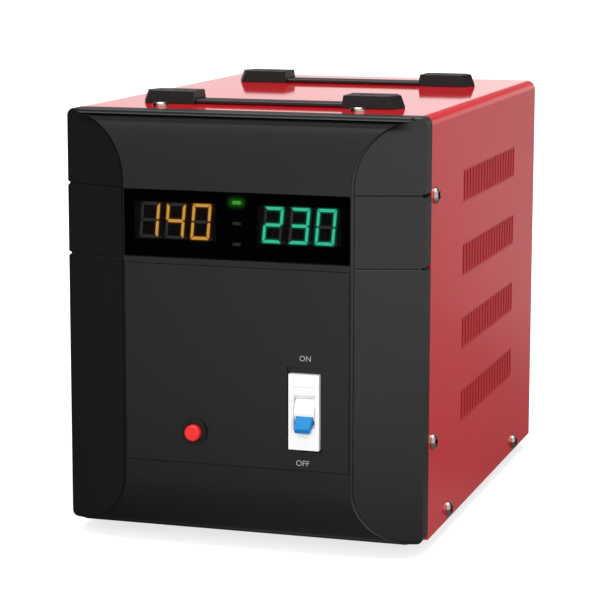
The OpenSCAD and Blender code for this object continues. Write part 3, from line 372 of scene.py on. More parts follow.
# Colour, roughness and the rest of finish's settings, by material slot
PLAIN_FINISHES = {
    "black_satin": ((0.006, 0.006, 0.0062), 0.42,
                    dict(shade=0.1, grain=0.000007, grain_scale=2600.0, smudge=0.03)),
    "module_black": ((0.026, 0.026, 0.027), 0.5, dict(grain=0.00001, specular=0.1)),
    "segment_off": ((0.24, 0.24, 0.235), 0.4,
                    dict(shade=0.15, shade_scale=900.0, specular=0.3)),
    "breaker_white": ((0.94, 0.94, 0.935), 0.38, dict(shade=0.02, grain=0.000006, smudge=0.04)),
    "toggle_blue": ((0.006, 0.23, 0.58), 0.42,
                    dict(shade=0.06, grain=0.000005, smudge=0.04, specular=0.25)),
    "button_red": ((0.85, 0.022, 0.022), 0.3,
                   dict(shade=0.04, grain=0.000004, smudge=0.05, coat=0.1)),
    "black_nylon": ((0.008, 0.008, 0.008), 0.46,
                    dict(shade=0.15, grain=0.00001, smudge=0.06, specular=0.3)),
    "handle_black": ((0.006, 0.0072, 0.0064), 0.4,
                     dict(shade=0.12, grain=0.00001, grain_scale=1800.0, smudge=0.06,
                          specular=0.36)),
    "strap_black": ((0.007, 0.007, 0.007), 0.42,
                    dict(shade=0.15, grain=0.000012, grain_scale=1500.0, smudge=0.06)),
    "zinc_sheet": ((0.5, 0.5, 0.51), 0.42,
                   dict(metallic=1.0, shade=0.14, shade_scale=45.0, ripple=0.000012,
                        smudge=0.12)),
    "bright_zinc": ((0.62, 0.62, 0.64), 0.3, dict(metallic=1.0, shade=0.1, smudge=0.08)),
    "bright_steel": ((0.45, 0.35, 0.32), 0.2,
                     dict(metallic=1.0, shade=0.1, shade_scale=400.0, smudge=0.06)),
    "black_steel": ((0.03, 0.03, 0.031), 0.3, dict(shade=0.1, smudge=0.08, specular=0.7)),
    "foot_rubber": ((0.018, 0.018, 0.018), 0.7,
                    dict(shade=0.15, grain=0.00003, grain_scale=1200.0, smudge=0.08)),
    "pad_rubber": ((0.022, 0.022, 0.022), 0.75,
                   dict(shade=0.15, grain=0.00004, grain_scale=900.0)),
    "spacer_brass": ((0.74, 0.52, 0.2), 0.3, dict(metallic=1.0, shade=0.1, smudge=0.08)),
    "core_steel": ((0.32, 0.33, 0.35), 0.38,
                   dict(metallic=1.0, ripple=0.00004, ripple_scale=700.0)),
    "relay_blue": ((0.025, 0.12, 0.42), 0.35, dict(shade=0.06, grain=0.000008)),
    "capacitor_blue": ((0.012, 0.016, 0.08), 0.28, dict(shade=0.1))}
SLOT_FINISH = {slot: finish(slot, colour, roughness, **rest)
               for slot, (colour, roughness, rest) in PLAIN_FINISHES.items()}
SLOT_FINISH.update({
    "red_enamel": red_enamel("red_enamel"),
    "black_gloss": moulding_black("black_gloss", TOP - 0.0022),
    "smoked_window": smoked_glass("smoked_window"),
    "circuit_board": circuit_board("circuit_board"),
    "coil_wrap": taped_winding("coil_wrap"),
    "amber_light": lit_segment("amber_light", (1.0, 0.6, 0.11), 1.8, (1.0, 0.48, 0.06)),
    "teal_light": lit_segment("teal_light", (0.085, 1.0, 0.58), 1.65, (0.06, 0.93, 0.52)),
    "green_light": lit_segment("green_light", (0.16, 0.85, 0.08), 1.3, (0.1, 0.7, 0.05))})
MASK = mask_black("window_mask")
AMBER_HALO = halo("amber_halo", (0.3, 0.07, 0.0))
TEAL_HALO = halo("teal_halo", (0.0, 0.36, 0.21))
PRINT = finish("white_print", (0.36, 0.36, 0.36), 0.5, shade=0.05)
NODE_SLOT = {row["node"]: row["material_slot"] for row in frame["record"]["subparts"]}
NODE_BODY = {node: body for body, members in frame["record"]["behaviour"]["bodies"].items()
             for node in members}


def write(shell, mesh):
    """Puts what a bmesh holds into a mesh, and frees the bmesh."""
    shell.to_mesh(mesh)
    shell.free()
    return mesh


def mesh_from(shell, name):
    return write(shell, bpy.data.meshes.new(name))


WELD = 2e-6


def welded(mesh, reach=WELD):
    """A bmesh of a mesh, with points closer than the reach merged."""
    shell = bmesh.new()
    shell.from_mesh(mesh)
    bmesh.ops.remove_doubles(shell, verts=shell.verts, dist=reach)
    return shell


def around(ring):
    """Each point of a closed ring with the next one."""
    return list(zip(ring, ring[1:] + ring[:1]))


def bridge(shell, first, second):
    """Faces from one closed ring of points to the next."""
    for (a, b), (d, c) in zip(around(first), around(second)):
        shell.faces.new((a, b, c, d))


def set_material(piece, material):
    piece.data.materials.clear()
    piece.data.materials.append(material)


def add_piece(name, mesh, body, slot, material=None, stands_for=()):
    """Links a finished mesh as a piece that rides on a body."""
    piece = link(name, mesh)
    set_material(piece, material or SLOT_FINISH[slot])
    if body:
        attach(piece, body)
    if stands_for:
        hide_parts(*stands_for)
    return piece


def evaluated_mesh(thing):
    """A mesh of the object as its modifiers or its curve make it."""
    bpy.context.view_layer.update()
    seen = thing.evaluated_get(bpy.context.evaluated_depsgraph_get())
    return bpy.data.meshes.new_from_object(seen)


def baked(piece):
    """Puts the mesh with its modifiers applied in place of the one the piece had."""
    made = evaluated_mesh(piece)
    piece.modifiers.clear()
    piece.data = made
    return piece


def ease_edges(piece, width, segments, angle):
    """Rounds the edges that are sharper than the angle."""
    ease = piece.modifiers.new("eased_edges", "BEVEL")
    ease.width = width * MM
    ease.segments = segments
    ease.limit_method = "ANGLE"
    ease.angle_limit = math.radians(angle)
    baked(piece)


def thicken(piece, thickness):
    """Gives a sheet its thickness, behind its face."""
    wall = piece.modifiers.new("thickness", "SOLIDIFY")
    wall.thickness = thickness
    wall.offset = -1


def smooth_below(mesh, degrees):
    """Smooth shading, with edges sharper than the angle kept hard."""
    shell = bmesh.new()
    shell.from_mesh(mesh)
    for face in shell.faces:
        face.smooth = True
    for edge in shell.edges:
        sharp = len(edge.link_faces) != 2 or edge.calc_face_angle(0) >= math.radians(degrees)
        edge.smooth = not sharp
    write(shell, mesh)


def faired(piece):
    """Large flat faces keep their own normal where small eased edges join them."""
    fair = piece.modifiers.new("fair_normals", "WEIGHTED_NORMAL")
    fair.keep_sharp = True
    fair.weight = 60
    return baked(piece)


def dress(node, bevel=0.0, segments=2, angle=32, tip_share=1.0, tip_depth=0.0035):
    """Replaces a CAD node by a welded copy with eased edges; its front may be narrower."""
    mesh = frame["nodes"][node].data.copy()
    shell = welded(mesh)
    bmesh.ops.dissolve_degenerate(shell, edges=shell.edges, dist=WELD)
    bmesh.ops.dissolve_limit(shell, angle_limit=math.radians(0.4), verts=shell.verts,
                             edges=shell.edges)
    if tip_share < 1.0:
        low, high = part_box(node)
        middle = (low.x + high.x) / 2
        for vert in shell.verts:
            if vert.co.y < low.y + tip_depth:
                vert.co.x = middle + (vert.co.x - middle) * tip_share
    piece = add_piece(node + "_dressed", write(shell, mesh), NODE_BODY[node], NODE_SLOT[node],
                      stands_for=[node])
    if bevel:
        ease_edges(piece, bevel, segments, angle)
    smooth_below(piece.data, angle)
    return faired(piece)


for name, node in frame["nodes"].items():
    set_material(node, SLOT_FINISH[NODE_SLOT[name]])


# Sizes of the front moulding in millimetres, heights from the casing's bottom edge
MOULD = dict(bulge=13.5, depth=12.2, panel=67.1, bevel=1.6, top_r=37.0, top_h=38.5, low_r=30.0,
             low_h=32.0, rest=0.6, corner=4.5, rim_h=2.2, cove_h=6.2, cove_d=5.0, crease_w=0.4,
             crease_d=0.35, notch_w=2.4, notch_d=1.4, notch_in=2.1, score_w=0.9, score_d=0.4,
             low_ease=3.0, top_ease=1.1, pillar_w=4.0, seat_gap=0.25, ledge=2.75)
GROOVES_Z = (198.7, 157.8)
WINDOW_RECESS, PLATE_RECESS = 2.0, 1.5
MOULD_H = (TOP - BASE) / MM
MOULD_HALF = HALF_W / MM
PILLAR_SLOPE = ((MOULD["bulge"] - MOULD["bevel"])
                / (MOULD_HALF - MOULD["panel"] - MOULD["bevel"]))
BEZEL = FRONT / MM - MOULD["depth"]
FACE = BEZEL - MOULD["bulge"]
window_low, window_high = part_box("display_window")
plate_low, plate_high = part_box("control_plate")
WINDOW_Z, PLATE_Z = (((low.z - BASE) / MM - MOULD["seat_gap"],
                      (high.z - BASE) / MM + MOULD["seat_gap"])
                     for low, high in ((window_low, window_high), (plate_low, plate_high)))
INSERT_X = window_high.x / MM + MOULD["seat_gap"]
# Width, bottom and top of the openings behind the window and close round the breaker's nose
DISPLAY_CUT = (2 * (INSERT_X - MOULD["ledge"]), WINDOW_Z[0] + MOULD["ledge"],
               WINDOW_Z[1] - MOULD["ledge"])
NOSE_CUT = (18.4, 53.75, 97.65)


def run_out(radius, along):
    """How far a circle's edge has moved aside at a distance from where it starts."""
    along = min(max(along, 0.0), radius)
    return radius - math.sqrt(radius * radius - along * along)


def roll_back(h):
    """How far the centre face is set back at a height."""
    aside = (run_out(MOULD["top_r"], h - MOULD_H + MOULD["top_h"])
             + run_out(MOULD["low_r"], MOULD["low_h"] - h))
    return min(MOULD["bulge"] - MOULD["bevel"] - MOULD["rest"], PILLAR_SLOPE * aside)


def quarter(inset, radius):
    """Set-back of a rounded edge at a distance from it."""
    inset = min(max(inset, 0.0), radius)
    return radius - math.sqrt(radius * radius - (radius - inset) ** 2)


def cove(h):
    """Extra depth of the shadow cove under the moulding's top lip."""
    share = 1 - (MOULD_H - MOULD["rim_h"] - h) / MOULD["cove_h"]
    return MOULD["cove_d"] * run_out(1.0, share) if share <= 1 else 0.0


def moulding_section(h, recess=0.0, notch=0.0, score=0.0, under_lip=False):
    """Half a cross-section, from the middle of the face to the side wall's rear, as (x, y)."""
    half_w = (MOULD_HALF - quarter(h, MOULD["corner"])
              - quarter(MOULD_H - h, MOULD["corner"]))
    eased = quarter(h, MOULD["low_ease"]) + quarter(MOULD_H - h, MOULD["top_ease"])
    back = roll_back(h)
    bevel, crease, deep = MOULD["bevel"], MOULD["crease_w"] / 2, MOULD["crease_d"]
    half = min(MOULD_HALF - bevel - (MOULD["bulge"] - bevel - back) / PILLAR_SLOPE,
               half_w - bevel - MOULD["pillar_w"])

    def pillar(x):
        return BEZEL - (MOULD_HALF - x) * PILLAR_SLOPE + eased

    centre = FACE + back + eased
    face = centre + (cove(h) if under_lip else 0.0)
    edge = half + bevel
    notch_x = half_w - MOULD["notch_in"]
    return [(0.0, face + recess), (INSERT_X - MOULD["ledge"], face + recess),
            (INSERT_X, face + recess), (INSERT_X, face), (half - 0.02, face),
            (half, centre + deep), (half + crease, centre + crease),
            (edge - crease, pillar(edge) - crease), (edge, pillar(edge) + deep),
            (edge + crease, pillar(edge + crease) + score), (notch_x, pillar(notch_x) + score),
            (half_w - notch, pillar(half_w) + notch), (half_w - notch, FRONT / MM)]


def quarter_sine(i, count):
    return math.sin(math.radians(90 * i / count))


def moulding_sections():
    """The moulding's sections from the bottom up: height, order at one height, settings."""
    low_h, top_h, lip = MOULD["low_h"], MOULD["top_h"], MOULD_H - MOULD["rim_h"]
    low_end, top_end = MOULD["corner"], MOULD["rim_h"] + MOULD["cove_h"]
    heights = [0.0, 0.2, 0.5, 0.9, 1.5, 2.2, 3.0, 3.8]
    heights += [low_h - (low_h - low_end) * quarter_sine(i, 14) for i in range(15)]
    heights += [MOULD_H - top_h + (top_h - top_end) * quarter_sine(i, 16) for i in range(17)]
    sections = [(h, 0, {}) for h in heights]
    sections += [(lip - MOULD["cove_h"] * (1 - i / 10), 0, {"under_lip": True})
                 for i in range(11)]
    sections += [(lip, 1, {}), (MOULD_H - 1.5, 0, {})]
    sections += [(MOULD_H - t, 0, {}) for t in (1.1, 0.8, 0.5, 0.3, 0.12, 0.0)]
    half_notch, fine = MOULD["notch_w"] / 2, MOULD["score_w"] / 2
    part_way = MOULD["notch_d"] * (1 - fine / half_notch)
    for z in GROOVES_Z:
        sections += [(z - half_notch, 0, {}), (z - fine, 0, {"notch": part_way}),
                     (z, 0, {"notch": MOULD["notch_d"], "score": MOULD["score_d"]}),
                     (z + fine, 0, {"notch": part_way}), (z + half_notch, 0, {})]
    for z0, z1, deep in ((*WINDOW_Z, WINDOW_RECESS), (*PLATE_Z, PLATE_RECESS)):
        sections += [(z0, 0, {}), (z0, 1, {"recess": deep}),
                     (z1, 0, {"recess": deep}), (z1, 1, {})]
    sections.sort(key=lambda row: (round(row[0], 4), row[1]))
    # a V groove that crosses the window's height keeps the window's recess
    for h, _, settings in sections:
        if WINDOW_Z[0] < h < WINDOW_Z[1]:
            settings["recess"] = WINDOW_RECESS
    return sections


def cut_openings(piece):
    """Cuts the openings for the displays and the breaker's nose through the moulding."""
    nose_low, nose_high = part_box("breaker_body")
    middle_y, length = FRONT - 0.03, 0.1
    shell = bmesh.new()
    for middle_x, (wide, low, high) in (((nose_low.x + nose_high.x) / 2, NOSE_CUT),
                                        (0.0, DISPLAY_CUT)):
        for vert in bmesh.ops.create_cube(shell, size=1.0)["verts"]:
            vert.co = (middle_x + vert.co.x * wide * MM, middle_y + vert.co.y * length,
                       BASE + (low + high + vert.co.z * 2 * (high - low)) * MM / 2)
    cutter = link("opening_forms", mesh_from(shell, "opening_forms"))
    opening = piece.modifiers.new("openings", "BOOLEAN")
    opening.operation = "DIFFERENCE"
    opening.object = cutter
    baked(piece)
    bpy.data.objects.remove(cutter)


def front_moulding():
    """The deep front moulding with its rolled ends, lip, grooves, recesses and openings."""
    shell = bmesh.new()
    rows = []
    for h, _, settings in moulding_sections():
        half = moulding_section(h, **settings)
        ring = [(-x, y) for x, y in reversed(half[1:])] + half[1:]
        rows.append([shell.verts.new((x * MM, y * MM, BASE + h * MM)) for x, y in ring])
    for lower, upper in zip(rows, rows[1:]):
        bridge(shell, lower, upper)
    shell.faces.new(list(reversed(rows[0])))
    shell.faces.new(rows[-1])
    bmesh.ops.remove_doubles(shell, verts=shell.verts, dist=1e-6)
    bmesh.ops.dissolve_degenerate(shell, edges=shell.edges, dist=1e-7)
    bmesh.ops.dissolve_limit(shell, angle_limit=math.radians(0.05), verts=shell.verts,
                             edges=shell.edges)
    bmesh.ops.recalc_face_normals(shell, faces=shell.faces)
    piece = add_piece("front_moulding_dressed", mesh_from(shell, "front_moulding_dressed"),
                      NODE_BODY["front_moulding"], "black_gloss", stands_for=["front_moulding"])
    cut_openings(piece)
    ease_edges(piece, width=0.3, segments=2, angle=35)
    smooth_below(piece.data, 22)
    return faired(piece)


front_moulding()

dress("cover", angle=28)
dress("rear_panel", angle=28)
dress("control_plate", bevel=0.25)
dress("display_window", bevel=0.2)


def window_mask():
    """The black print in the smoked window's back, open before the displays and the lights."""
    sunk, thickness, border, trim = 0.00015, 0.0001, 0.0004, 0.0006
    depth = window_high.y - sunk
    light_low, light_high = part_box("working_light")
    status_low, status_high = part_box("status_lights")
    tall = light_high.z - light_low.z
    holes = [(low.x + trim, high.x - trim, low.z + trim, high.z - trim)
             for low, high in (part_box("input_display"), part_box("output_display"))]
    holes.append((light_low.x, light_high.x, light_low.z, light_high.z))
    holes += [(status_low.x, status_high.x, z, z + tall)
              for z in (status_low.z, status_high.z - tall)]
    reach_x = window_high.x - border
    edges_x = sorted({-reach_x, reach_x} | {x for hole in holes for x in hole[:2]})
    edges_z = sorted({window_low.z + border, window_high.z - border}
                     | {z for hole in holes for z in hole[2:]})
    shell = bmesh.new()
    grid = {(x, z): shell.verts.new((x, depth, z)) for x in edges_x for z in edges_z}
    for x0, x1 in zip(edges_x, edges_x[1:]):
        for z0, z1 in zip(edges_z, edges_z[1:]):
            at_x, at_z = (x0 + x1) / 2, (z0 + z1) / 2
            if not any(a < at_x < b and c < at_z < d for a, b, c, d in holes):
                corners = ((x0, z0), (x1, z0), (x1, z1), (x0, z1))
                shell.faces.new([grid[p] for p in corners])
    lone = [v for v in shell.verts if not v.link_faces]
    bmesh.ops.delete(shell, geom=lone, context="VERTS")
    thicken(add_piece("window_mask", mesh_from(shell, "window_mask"),
                      NODE_BODY["display_window"], "smoked_window", MASK), thickness)


window_mask()


# A digit's seven bars in millimetres from its middle, numbered clockwise from the top, then the
# middle one; which of them each digit shows; the digits' distance and lean; the decimal point
BARS = {1: [(-4.9, 10.2), (4.9, 10.2), (5.2, 9.95), (3.75, 8.5), (-3.75, 8.5), (-5.2, 9.95)],
        2: [(5.35, 9.5), (5.55, 9.2), (5.55, 0.9), (4.85, 0.3), (4.0, 1.1), (4.0, 8.1)],
        7: [(-4.6, 0.0), (-3.85, 0.85), (3.85, 0.85), (4.6, 0.0), (3.85, -0.85),
            (-3.85, -0.85)]}
BARS[6] = [(-x, z) for x, z in BARS[2]]
BARS[3] = [(x, -z) for x, z in BARS[2]]
BARS[5] = [(-x, -z) for x, z in BARS[2]]
BARS[4] = [(x, -z) for x, z in BARS[1]]
SHOWN = {"0": "123456", "1": "23", "2": "12754", "3": "12734", "4": "6723"}
DIGIT_PITCH = 15.402
DIGIT_LEAN = math.tan(math.radians(5))
POINT = [(6.3 + 0.6 * math.cos(math.pi * k / 5), -9.4 + 0.6 * math.sin(math.pi * k / 5))
         for k in range(10)]


def bar_outlines(side, number, lit):
    """Outlines in X and Z of a display's lit or unlit bars; the unlit ones include the points."""
    low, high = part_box(side + "_display")
    bars_low, bars_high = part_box(side + "_digits_lit")
    middle_x, middle_z = (low.x + high.x) / 2, (bars_low.z + bars_high.z) / 2
    outlines = []
    for place, digit in enumerate(number):
        at_x = middle_x + (place - 1) * DIGIT_PITCH * MM
        for bar in "1234567":
            if (bar in SHOWN[digit]) == lit:
                outlines.append([(at_x + (x + z * DIGIT_LEAN) * MM, middle_z + z * MM)
                                 for x, z in BARS[int(bar)]])
        if not lit:
            outlines.append([(at_x + x * MM, middle_z + z * MM) for x, z in POINT])
    return outlines


def display_bars(side, number, lit):
    """Mitred display bars, as thin plates on the display's face."""
    node = side + "_digits_" + ("lit" if lit else "unlit")
    low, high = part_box(node)
    shell = bmesh.new()
    for outline in bar_outlines(side, number, lit):
        front = [shell.verts.new((x, low.y, z)) for x, z in outline]
        back = [shell.verts.new((x, high.y, z)) for x, z in outline]
        shell.faces.new(front)
        shell.faces.new(list(reversed(back)))
        bridge(shell, front, back)
    bmesh.ops.recalc_face_normals(shell, faces=shell.faces)
    add_piece(node + "_dressed", mesh_from(shell, node + "_dressed"), NODE_BODY[node],
              NODE_SLOT[node], stands_for=[node])


# Distance from a bar's edge in millimetres, and how much of the halo is left there
HALO_FADE = ((0.0, 1.0), (0.45, 0.29), (0.9, 0.095), (1.4, 0.0))
# In metres: how far the first halo stands before the bars' rear, each next one before the last,
# and how thick they are
HALO_START, HALO_STEP, HALO_THICKNESS = 1e-5, 8e-6, 4e-6
# Keeps the halo from growing spikes at sharp corners
HALO_CORNER = 0.85


def moved_out(outline, i, middle, reach):
    """An outline's corner i, moved outwards until its two sides are at the reach."""
    before, here, after = (Vector(outline[(i + k) % len(outline)]) for k in (-1, 0, 1))
    ways = []
    for side in ((here - before).normalized(), (after - here).normalized()):
        way = Vector((-side.y, side.x))
        ways.append(way if way.dot(here - middle) > 0 else -way)
    way = (ways[0] + ways[1]).normalized()
    return here + way * reach * MM / max(HALO_CORNER, way.dot(ways[0]))


def display_halo(side, number, material):
    """A skirt round each lit bar that carries its halo, each a hair in front of the last."""
    node = side + "_digits_lit"
    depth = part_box(node)[1].y - HALO_START
    shell = bmesh.new()
    fade = shell.verts.layers.float.new("fade")
    for count, outline in enumerate(bar_outlines(side, number, True)):
        middle = Vector((sum(x for x, z in outline), sum(z for x, z in outline))) / len(outline)
        rings = []
        for reach, strength in HALO_FADE:
            ring = []
            for i in range(len(outline)):
                spot = moved_out(outline, i, middle, reach)
                vert = shell.verts.new((spot.x, depth - count * HALO_STEP, spot.y))
                vert[fade] = strength
                ring.append(vert)
            rings.append(ring)
        shell.faces.new(rings[0])
        for inner, outer in zip(rings, rings[1:]):
            bridge(shell, inner, outer)
    for face in shell.faces:
        face.normal_update()
        if face.normal.y > 0:
            face.normal_flip()
    thicken(add_piece(side + "_halo", mesh_from(shell, side + "_halo"), NODE_BODY[node],
                      NODE_SLOT[node], material), HALO_THICKNESS)


for side, number, light in (("input", "140", AMBER_HALO), ("output", "230", TEAL_HALO)):
    display_bars(side, number, True)
    display_bars(side, number, False)
    display_halo(side, number, light)

dress("handle_end_caps", bevel=0.3, angle=20)
dress("breaker_body", bevel=0.35)
dress("toggle_drum", bevel=0.2)
dress("breaker_toggle", bevel=0.7, segments=3, angle=20, tip_share=0.88)
dress("button_housing", bevel=0.45, segments=3)
dress("button_cap", bevel=0.3)
dress("rubber_feet", bevel=0.8, segments=3)
dress("transformer_winding", angle=40)
dress("transformer_pads", bevel=0.4)
dress("clamp_disc", bevel=0.3)
dress("clamp_bolt", bevel=0.3)
dress("capacitors", bevel=0.8, segments=3)
dress("relays", bevel=0.5)
dress("board_spacers")
dress("terminal_cover", bevel=0.8, segments=3)
dress("terminal_block", bevel=0.3)


# Distance from the middle to the end caps' inner faces, where the straps come out
STRAP_MOUTH = 0.0448
STRAP_EDGE_R = 0.0008
STRAP_STEPS = 46
# Two shallow grooves along the top face: share of the width, depth
STRAP_GROOVES = ((0.34, 0), (0.31, 0.0003), (0.28, 0), (-0.28, 0), (-0.31, 0.0003), (-0.34, 0))


def strap_half(name, node, side):
    """Half a strap with a grooved top, swept from the middle into the end cap."""
    low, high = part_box(node)
    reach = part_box(node + "_ends")[1].x
    width, thick = high.y - low.y, high.z - low.z
    middle_y, middle_z = (low.y + high.y) / 2, (low.z + high.z) / 2
    outline = []
    for turn, (sy, sz) in enumerate(((1, 1), (-1, 1), (-1, -1), (1, -1))):
        for i in range(4):
            a = math.radians(90 * turn + 30 * i)
            outline.append((sy * (width / 2 - STRAP_EDGE_R) + STRAP_EDGE_R * math.cos(a),
                            sz * (thick / 2 - STRAP_EDGE_R) + STRAP_EDGE_R * math.sin(a)))
    outline[4:4] = [(share * width, thick / 2 - deep) for share, deep in STRAP_GROOVES]
    shell = bmesh.new()
    rings = []
    for i in range(STRAP_STEPS + 1):
        x = side * reach * i / STRAP_STEPS
        rings.append([shell.verts.new((x, middle_y + y, middle_z + z)) for y, z in outline])
    for first, second in zip(rings, rings[1:]):
        bridge(shell, first, second)
    shell.faces.new(rings[0])
    shell.faces.new(rings[-1])
    bmesh.ops.recalc_face_normals(shell, faces=shell.faces)
    mesh = mesh_from(shell, name)
    smooth_below(mesh, 40)
    piece = add_piece(name, mesh, None, "strap_black", stands_for=[node, node + "_ends"])
    side * STRAP_MOUTH
    side * high.x
    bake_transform(piece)


for strap, body in (("front_strap", "front_grip"), ("rear_strap", "rear_grip")):
    for side, word in ((-1, "left"), (1, "right")):
        strap_half(f"{strap}_{word}_half", strap, side)


# A pan head of radius 1: its profile as radius and share of the height, its height, and how many
# points go round it
HEAD_PROFILE = ((0.985, 0.0), (1.0, 0.25), (0.96, 0.5), (0.86, 0.78), (0.78, 0.92), (0.7, 1.0))
HEAD_H, HEAD_ROUND = 0.56, 28
# Its cross recess: depth, length and half width of an arm, and the bottom's size to the top's
CROSS_D, CROSS_ARM, CROSS_SLIM, CROSS_TAPER = 0.48, 0.66, 0.18, 0.55


def cross_head(name):
    """A pan head with a cross recess, seat at the origin and head along +Z."""
    shell = bmesh.new()
    turns = [2 * math.pi * i / HEAD_ROUND for i in range(HEAD_ROUND)]
    rings = [[shell.verts.new((r * math.cos(a), r * math.sin(a), share * HEAD_H)) for a in turns]
             for r, share in HEAD_PROFILE]
    for lower, upper in zip(rings, rings[1:]):
        bridge(shell, lower, upper)
    shell.faces.new(list(reversed(rings[0])))
    plan = []
    for a in (turn * math.pi / 2 for turn in range(4)):
        for along, across in ((CROSS_SLIM, -CROSS_SLIM), (CROSS_ARM, -CROSS_SLIM),
                              (CROSS_ARM, CROSS_SLIM)):
            plan.append((along * math.cos(a) - across * math.sin(a),
                         along * math.sin(a) + across * math.cos(a)))
    lip = [shell.verts.new((x, y, HEAD_H)) for x, y in plan]
    deep = [shell.verts.new((x * CROSS_TAPER, y * CROSS_TAPER, HEAD_H - CROSS_D))
            for x, y in plan]
    rims = [shell.edges.get(pair) for pair in around(rings[-1])]
    rims += [shell.edges.new(pair) for pair in around(lip)]
    bmesh.ops.bridge_loops(shell, edges=rims)
    bridge(shell, lip, deep)
    shell.faces.new(deep)
    bmesh.ops.recalc_face_normals(shell, faces=shell.faces)
    mesh = mesh_from(shell, name)
    smooth_below(mesh, 35)
    return mesh


def scatter_tree(name):
    """Places copies of one form on points, turned along each point's stored heading and spin."""
    group = bpy.data.node_groups.new(name, "GeometryNodeTree")
    for socket, kind in (("Places", "Geometry"), ("Form", "Object"), ("Size", "Float"),
                         ("Finish", "Material")):
        group.interface.new_socket(socket, in_out="INPUT", socket_type="NodeSocket" + kind)
    group.interface.new_socket("Copies", in_out="OUTPUT", socket_type="NodeSocketGeometry")
    tree = Tree(group)
    given = tree.outputs("NodeGroupInput")
    heading = tree.add("GeometryNodeInputNamedAttribute", {"data_type": "FLOAT_VECTOR"},
                       {"Name": "heading"})
    spin = tree.add("GeometryNodeInputNamedAttribute", {"data_type": "FLOAT"}, {"Name": "spin"})
    turned = tree.add("FunctionNodeAlignRotationToVector", {"axis": "Z"}, {"Vector": heading})
    about = tree.add("FunctionNodeAxisAngleToRotation", None, {"Axis": (0, 0, 1), "Angle": spin})
    both = tree.add("FunctionNodeRotateRotation", {"rotation_space": "LOCAL"},
                    {0: turned, 1: about})
    form = tree.add("GeometryNodeObjectInfo", None, {"Object": given["Form"]}, out="Geometry")
    points = tree.add("GeometryNodeMeshToPoints", None, {"Mesh": given["Places"]})
    copies = tree.add("GeometryNodeInstanceOnPoints", None, {
        "Points": points, "Instance": form, "Rotation": both, "Scale": given["Size"]})
    real = tree.add("GeometryNodeRealizeInstances", None, {0: copies})
    painted = tree.add("GeometryNodeSetMaterial", None,
                       {"Geometry": real, "Material": given["Finish"]})
    tree.add("NodeGroupOutput", None, {0: painted})
    return group


HEAD = cross_head("cross_head")
SCATTER = scatter_tree("scatter_on_places")


def node_solids(node):
    """Low and high corners of each separate solid of a node."""
    shell = welded(frame["nodes"][node].data)
    boxes, seen = [], set()
    for vert in shell.verts:
        if vert in seen:
            continue
        stack, points = [vert], []
        seen.add(vert)
        while stack:
            at = stack.pop()
            points.append(at.co.copy())
            for edge in at.link_edges:
                other = edge.other_vert(at)
                if other not in seen:
                    seen.add(other)
                    stack.append(other)
        boxes.append([Vector(pick(p[k] for p in points) for k in range(3))
                      for pick in (min, max)])
    shell.free()
    return boxes


def screw_heads(node, seat, radius):
    """Cross heads in place of a node's screws; seat gives each one's point, heading and spin."""
    slot = NODE_SLOT[node]
    name = node[:-1] + "_heads"
    places = [seat(low, high, (low + high) / 2) for low, high in node_solids(node)]
    form = link(name + "_form", HEAD)
    mesh = bpy.data.meshes.new(name + "_places")
    mesh.from_pydata([p for p, _, _ in places], [], [])
    mesh.attributes.new("heading", "FLOAT_VECTOR", "POINT")
    mesh.attributes.new("spin", "FLOAT", "POINT")
    headings = [c for _, heading, _ in places for c in heading]
    mesh.attributes["heading"].data.foreach_set("vector", headings)
    mesh.attributes["spin"].data.foreach_set("value", [spin for _, _, spin in places])
    holder = link(name, mesh)
    modifier = holder.modifiers.new("scatter", "NODES")
    modifier.node_group = SCATTER
    values = {"Form": form, "Size": radius, "Finish": SLOT_FINISH[slot]}
    for item in SCATTER.interface.items_tree:
        if item.in_out == "INPUT" and item.name in values:
            modifier[item.identifier] = values[item.name]
    baked(holder)
    bpy.data.objects.remove(form)
    set_material(holder, SLOT_FINISH[slot])
    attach(holder, NODE_BODY[node])
    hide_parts(node)


# Each screw's spin comes from its place, so that no two crosses stand alike
def cover_seat(low, high, middle):
    """A screw in the cover's top points up; one in its sides points outwards."""
    if high.z > TOP + 0.0005:
        return Vector((middle.x, middle.y, TOP)), (0, 0, 1), middle.x * 40
    side = 1 if middle.x > 0 else -1
    return (Vector((side * HALF_W, middle.y, middle.z)), (side, 0, 0),
            middle.z * 31 + middle.y * 17)


def rear_seat(low, high, middle):
    return Vector((middle.x, BACK, middle.z)), (0, 1, 0), low.z * 23


def handle_seat(low, high, middle):
    head_h = 0.0024
    return Vector((middle.x, middle.y, high.z - head_h)), (0, 0, 1), low.x * 29 + low.y * 7


def hood_seat(low, high, middle):
    return Vector((middle.x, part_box("terminal_cover")[1].y, middle.z)), (0, 1, 0), low.x * 9


screw_heads("cover_screws", cover_seat, 0.0046)
screw_heads("rear_screws", rear_seat, 0.0046)
screw_heads("handle_screws", handle_seat, 0.0036)
screw_heads("terminal_cover_screws", hood_seat, 0.003)


def words(name, text, x, z, height):
    """Flat lettering on the control plate, as a thin mesh; capitals are 0.7 of the font's size."""
    curve = bpy.data.curves.new(name, "FONT")
    curve.body = text
    curve.align_x, curve.align_y = "CENTER", "CENTER"
    curve.size = height / 0.7
    curve.extrude = 0.00002
    flat = link(name + "_curve", curve)
    mesh = evaluated_mesh(flat)
    bpy.data.objects.remove(flat)
    write(welded(mesh, 1e-6), mesh)
    mesh.transform(Matrix.Translation(Vector((x, plate_low.y - curve.extrude, z)))
                   @ Matrix.Rotation(math.pi / 2, 4, "X"))
    add_piece(name, mesh, NODE_BODY["control_plate"], "breaker_white", PRINT)


words("on_word", "ON", 0.0411, BASE + 0.1061, 0.0031)
words("off_word", "OFF", 0.0397, BASE + 0.0458, 0.0032)


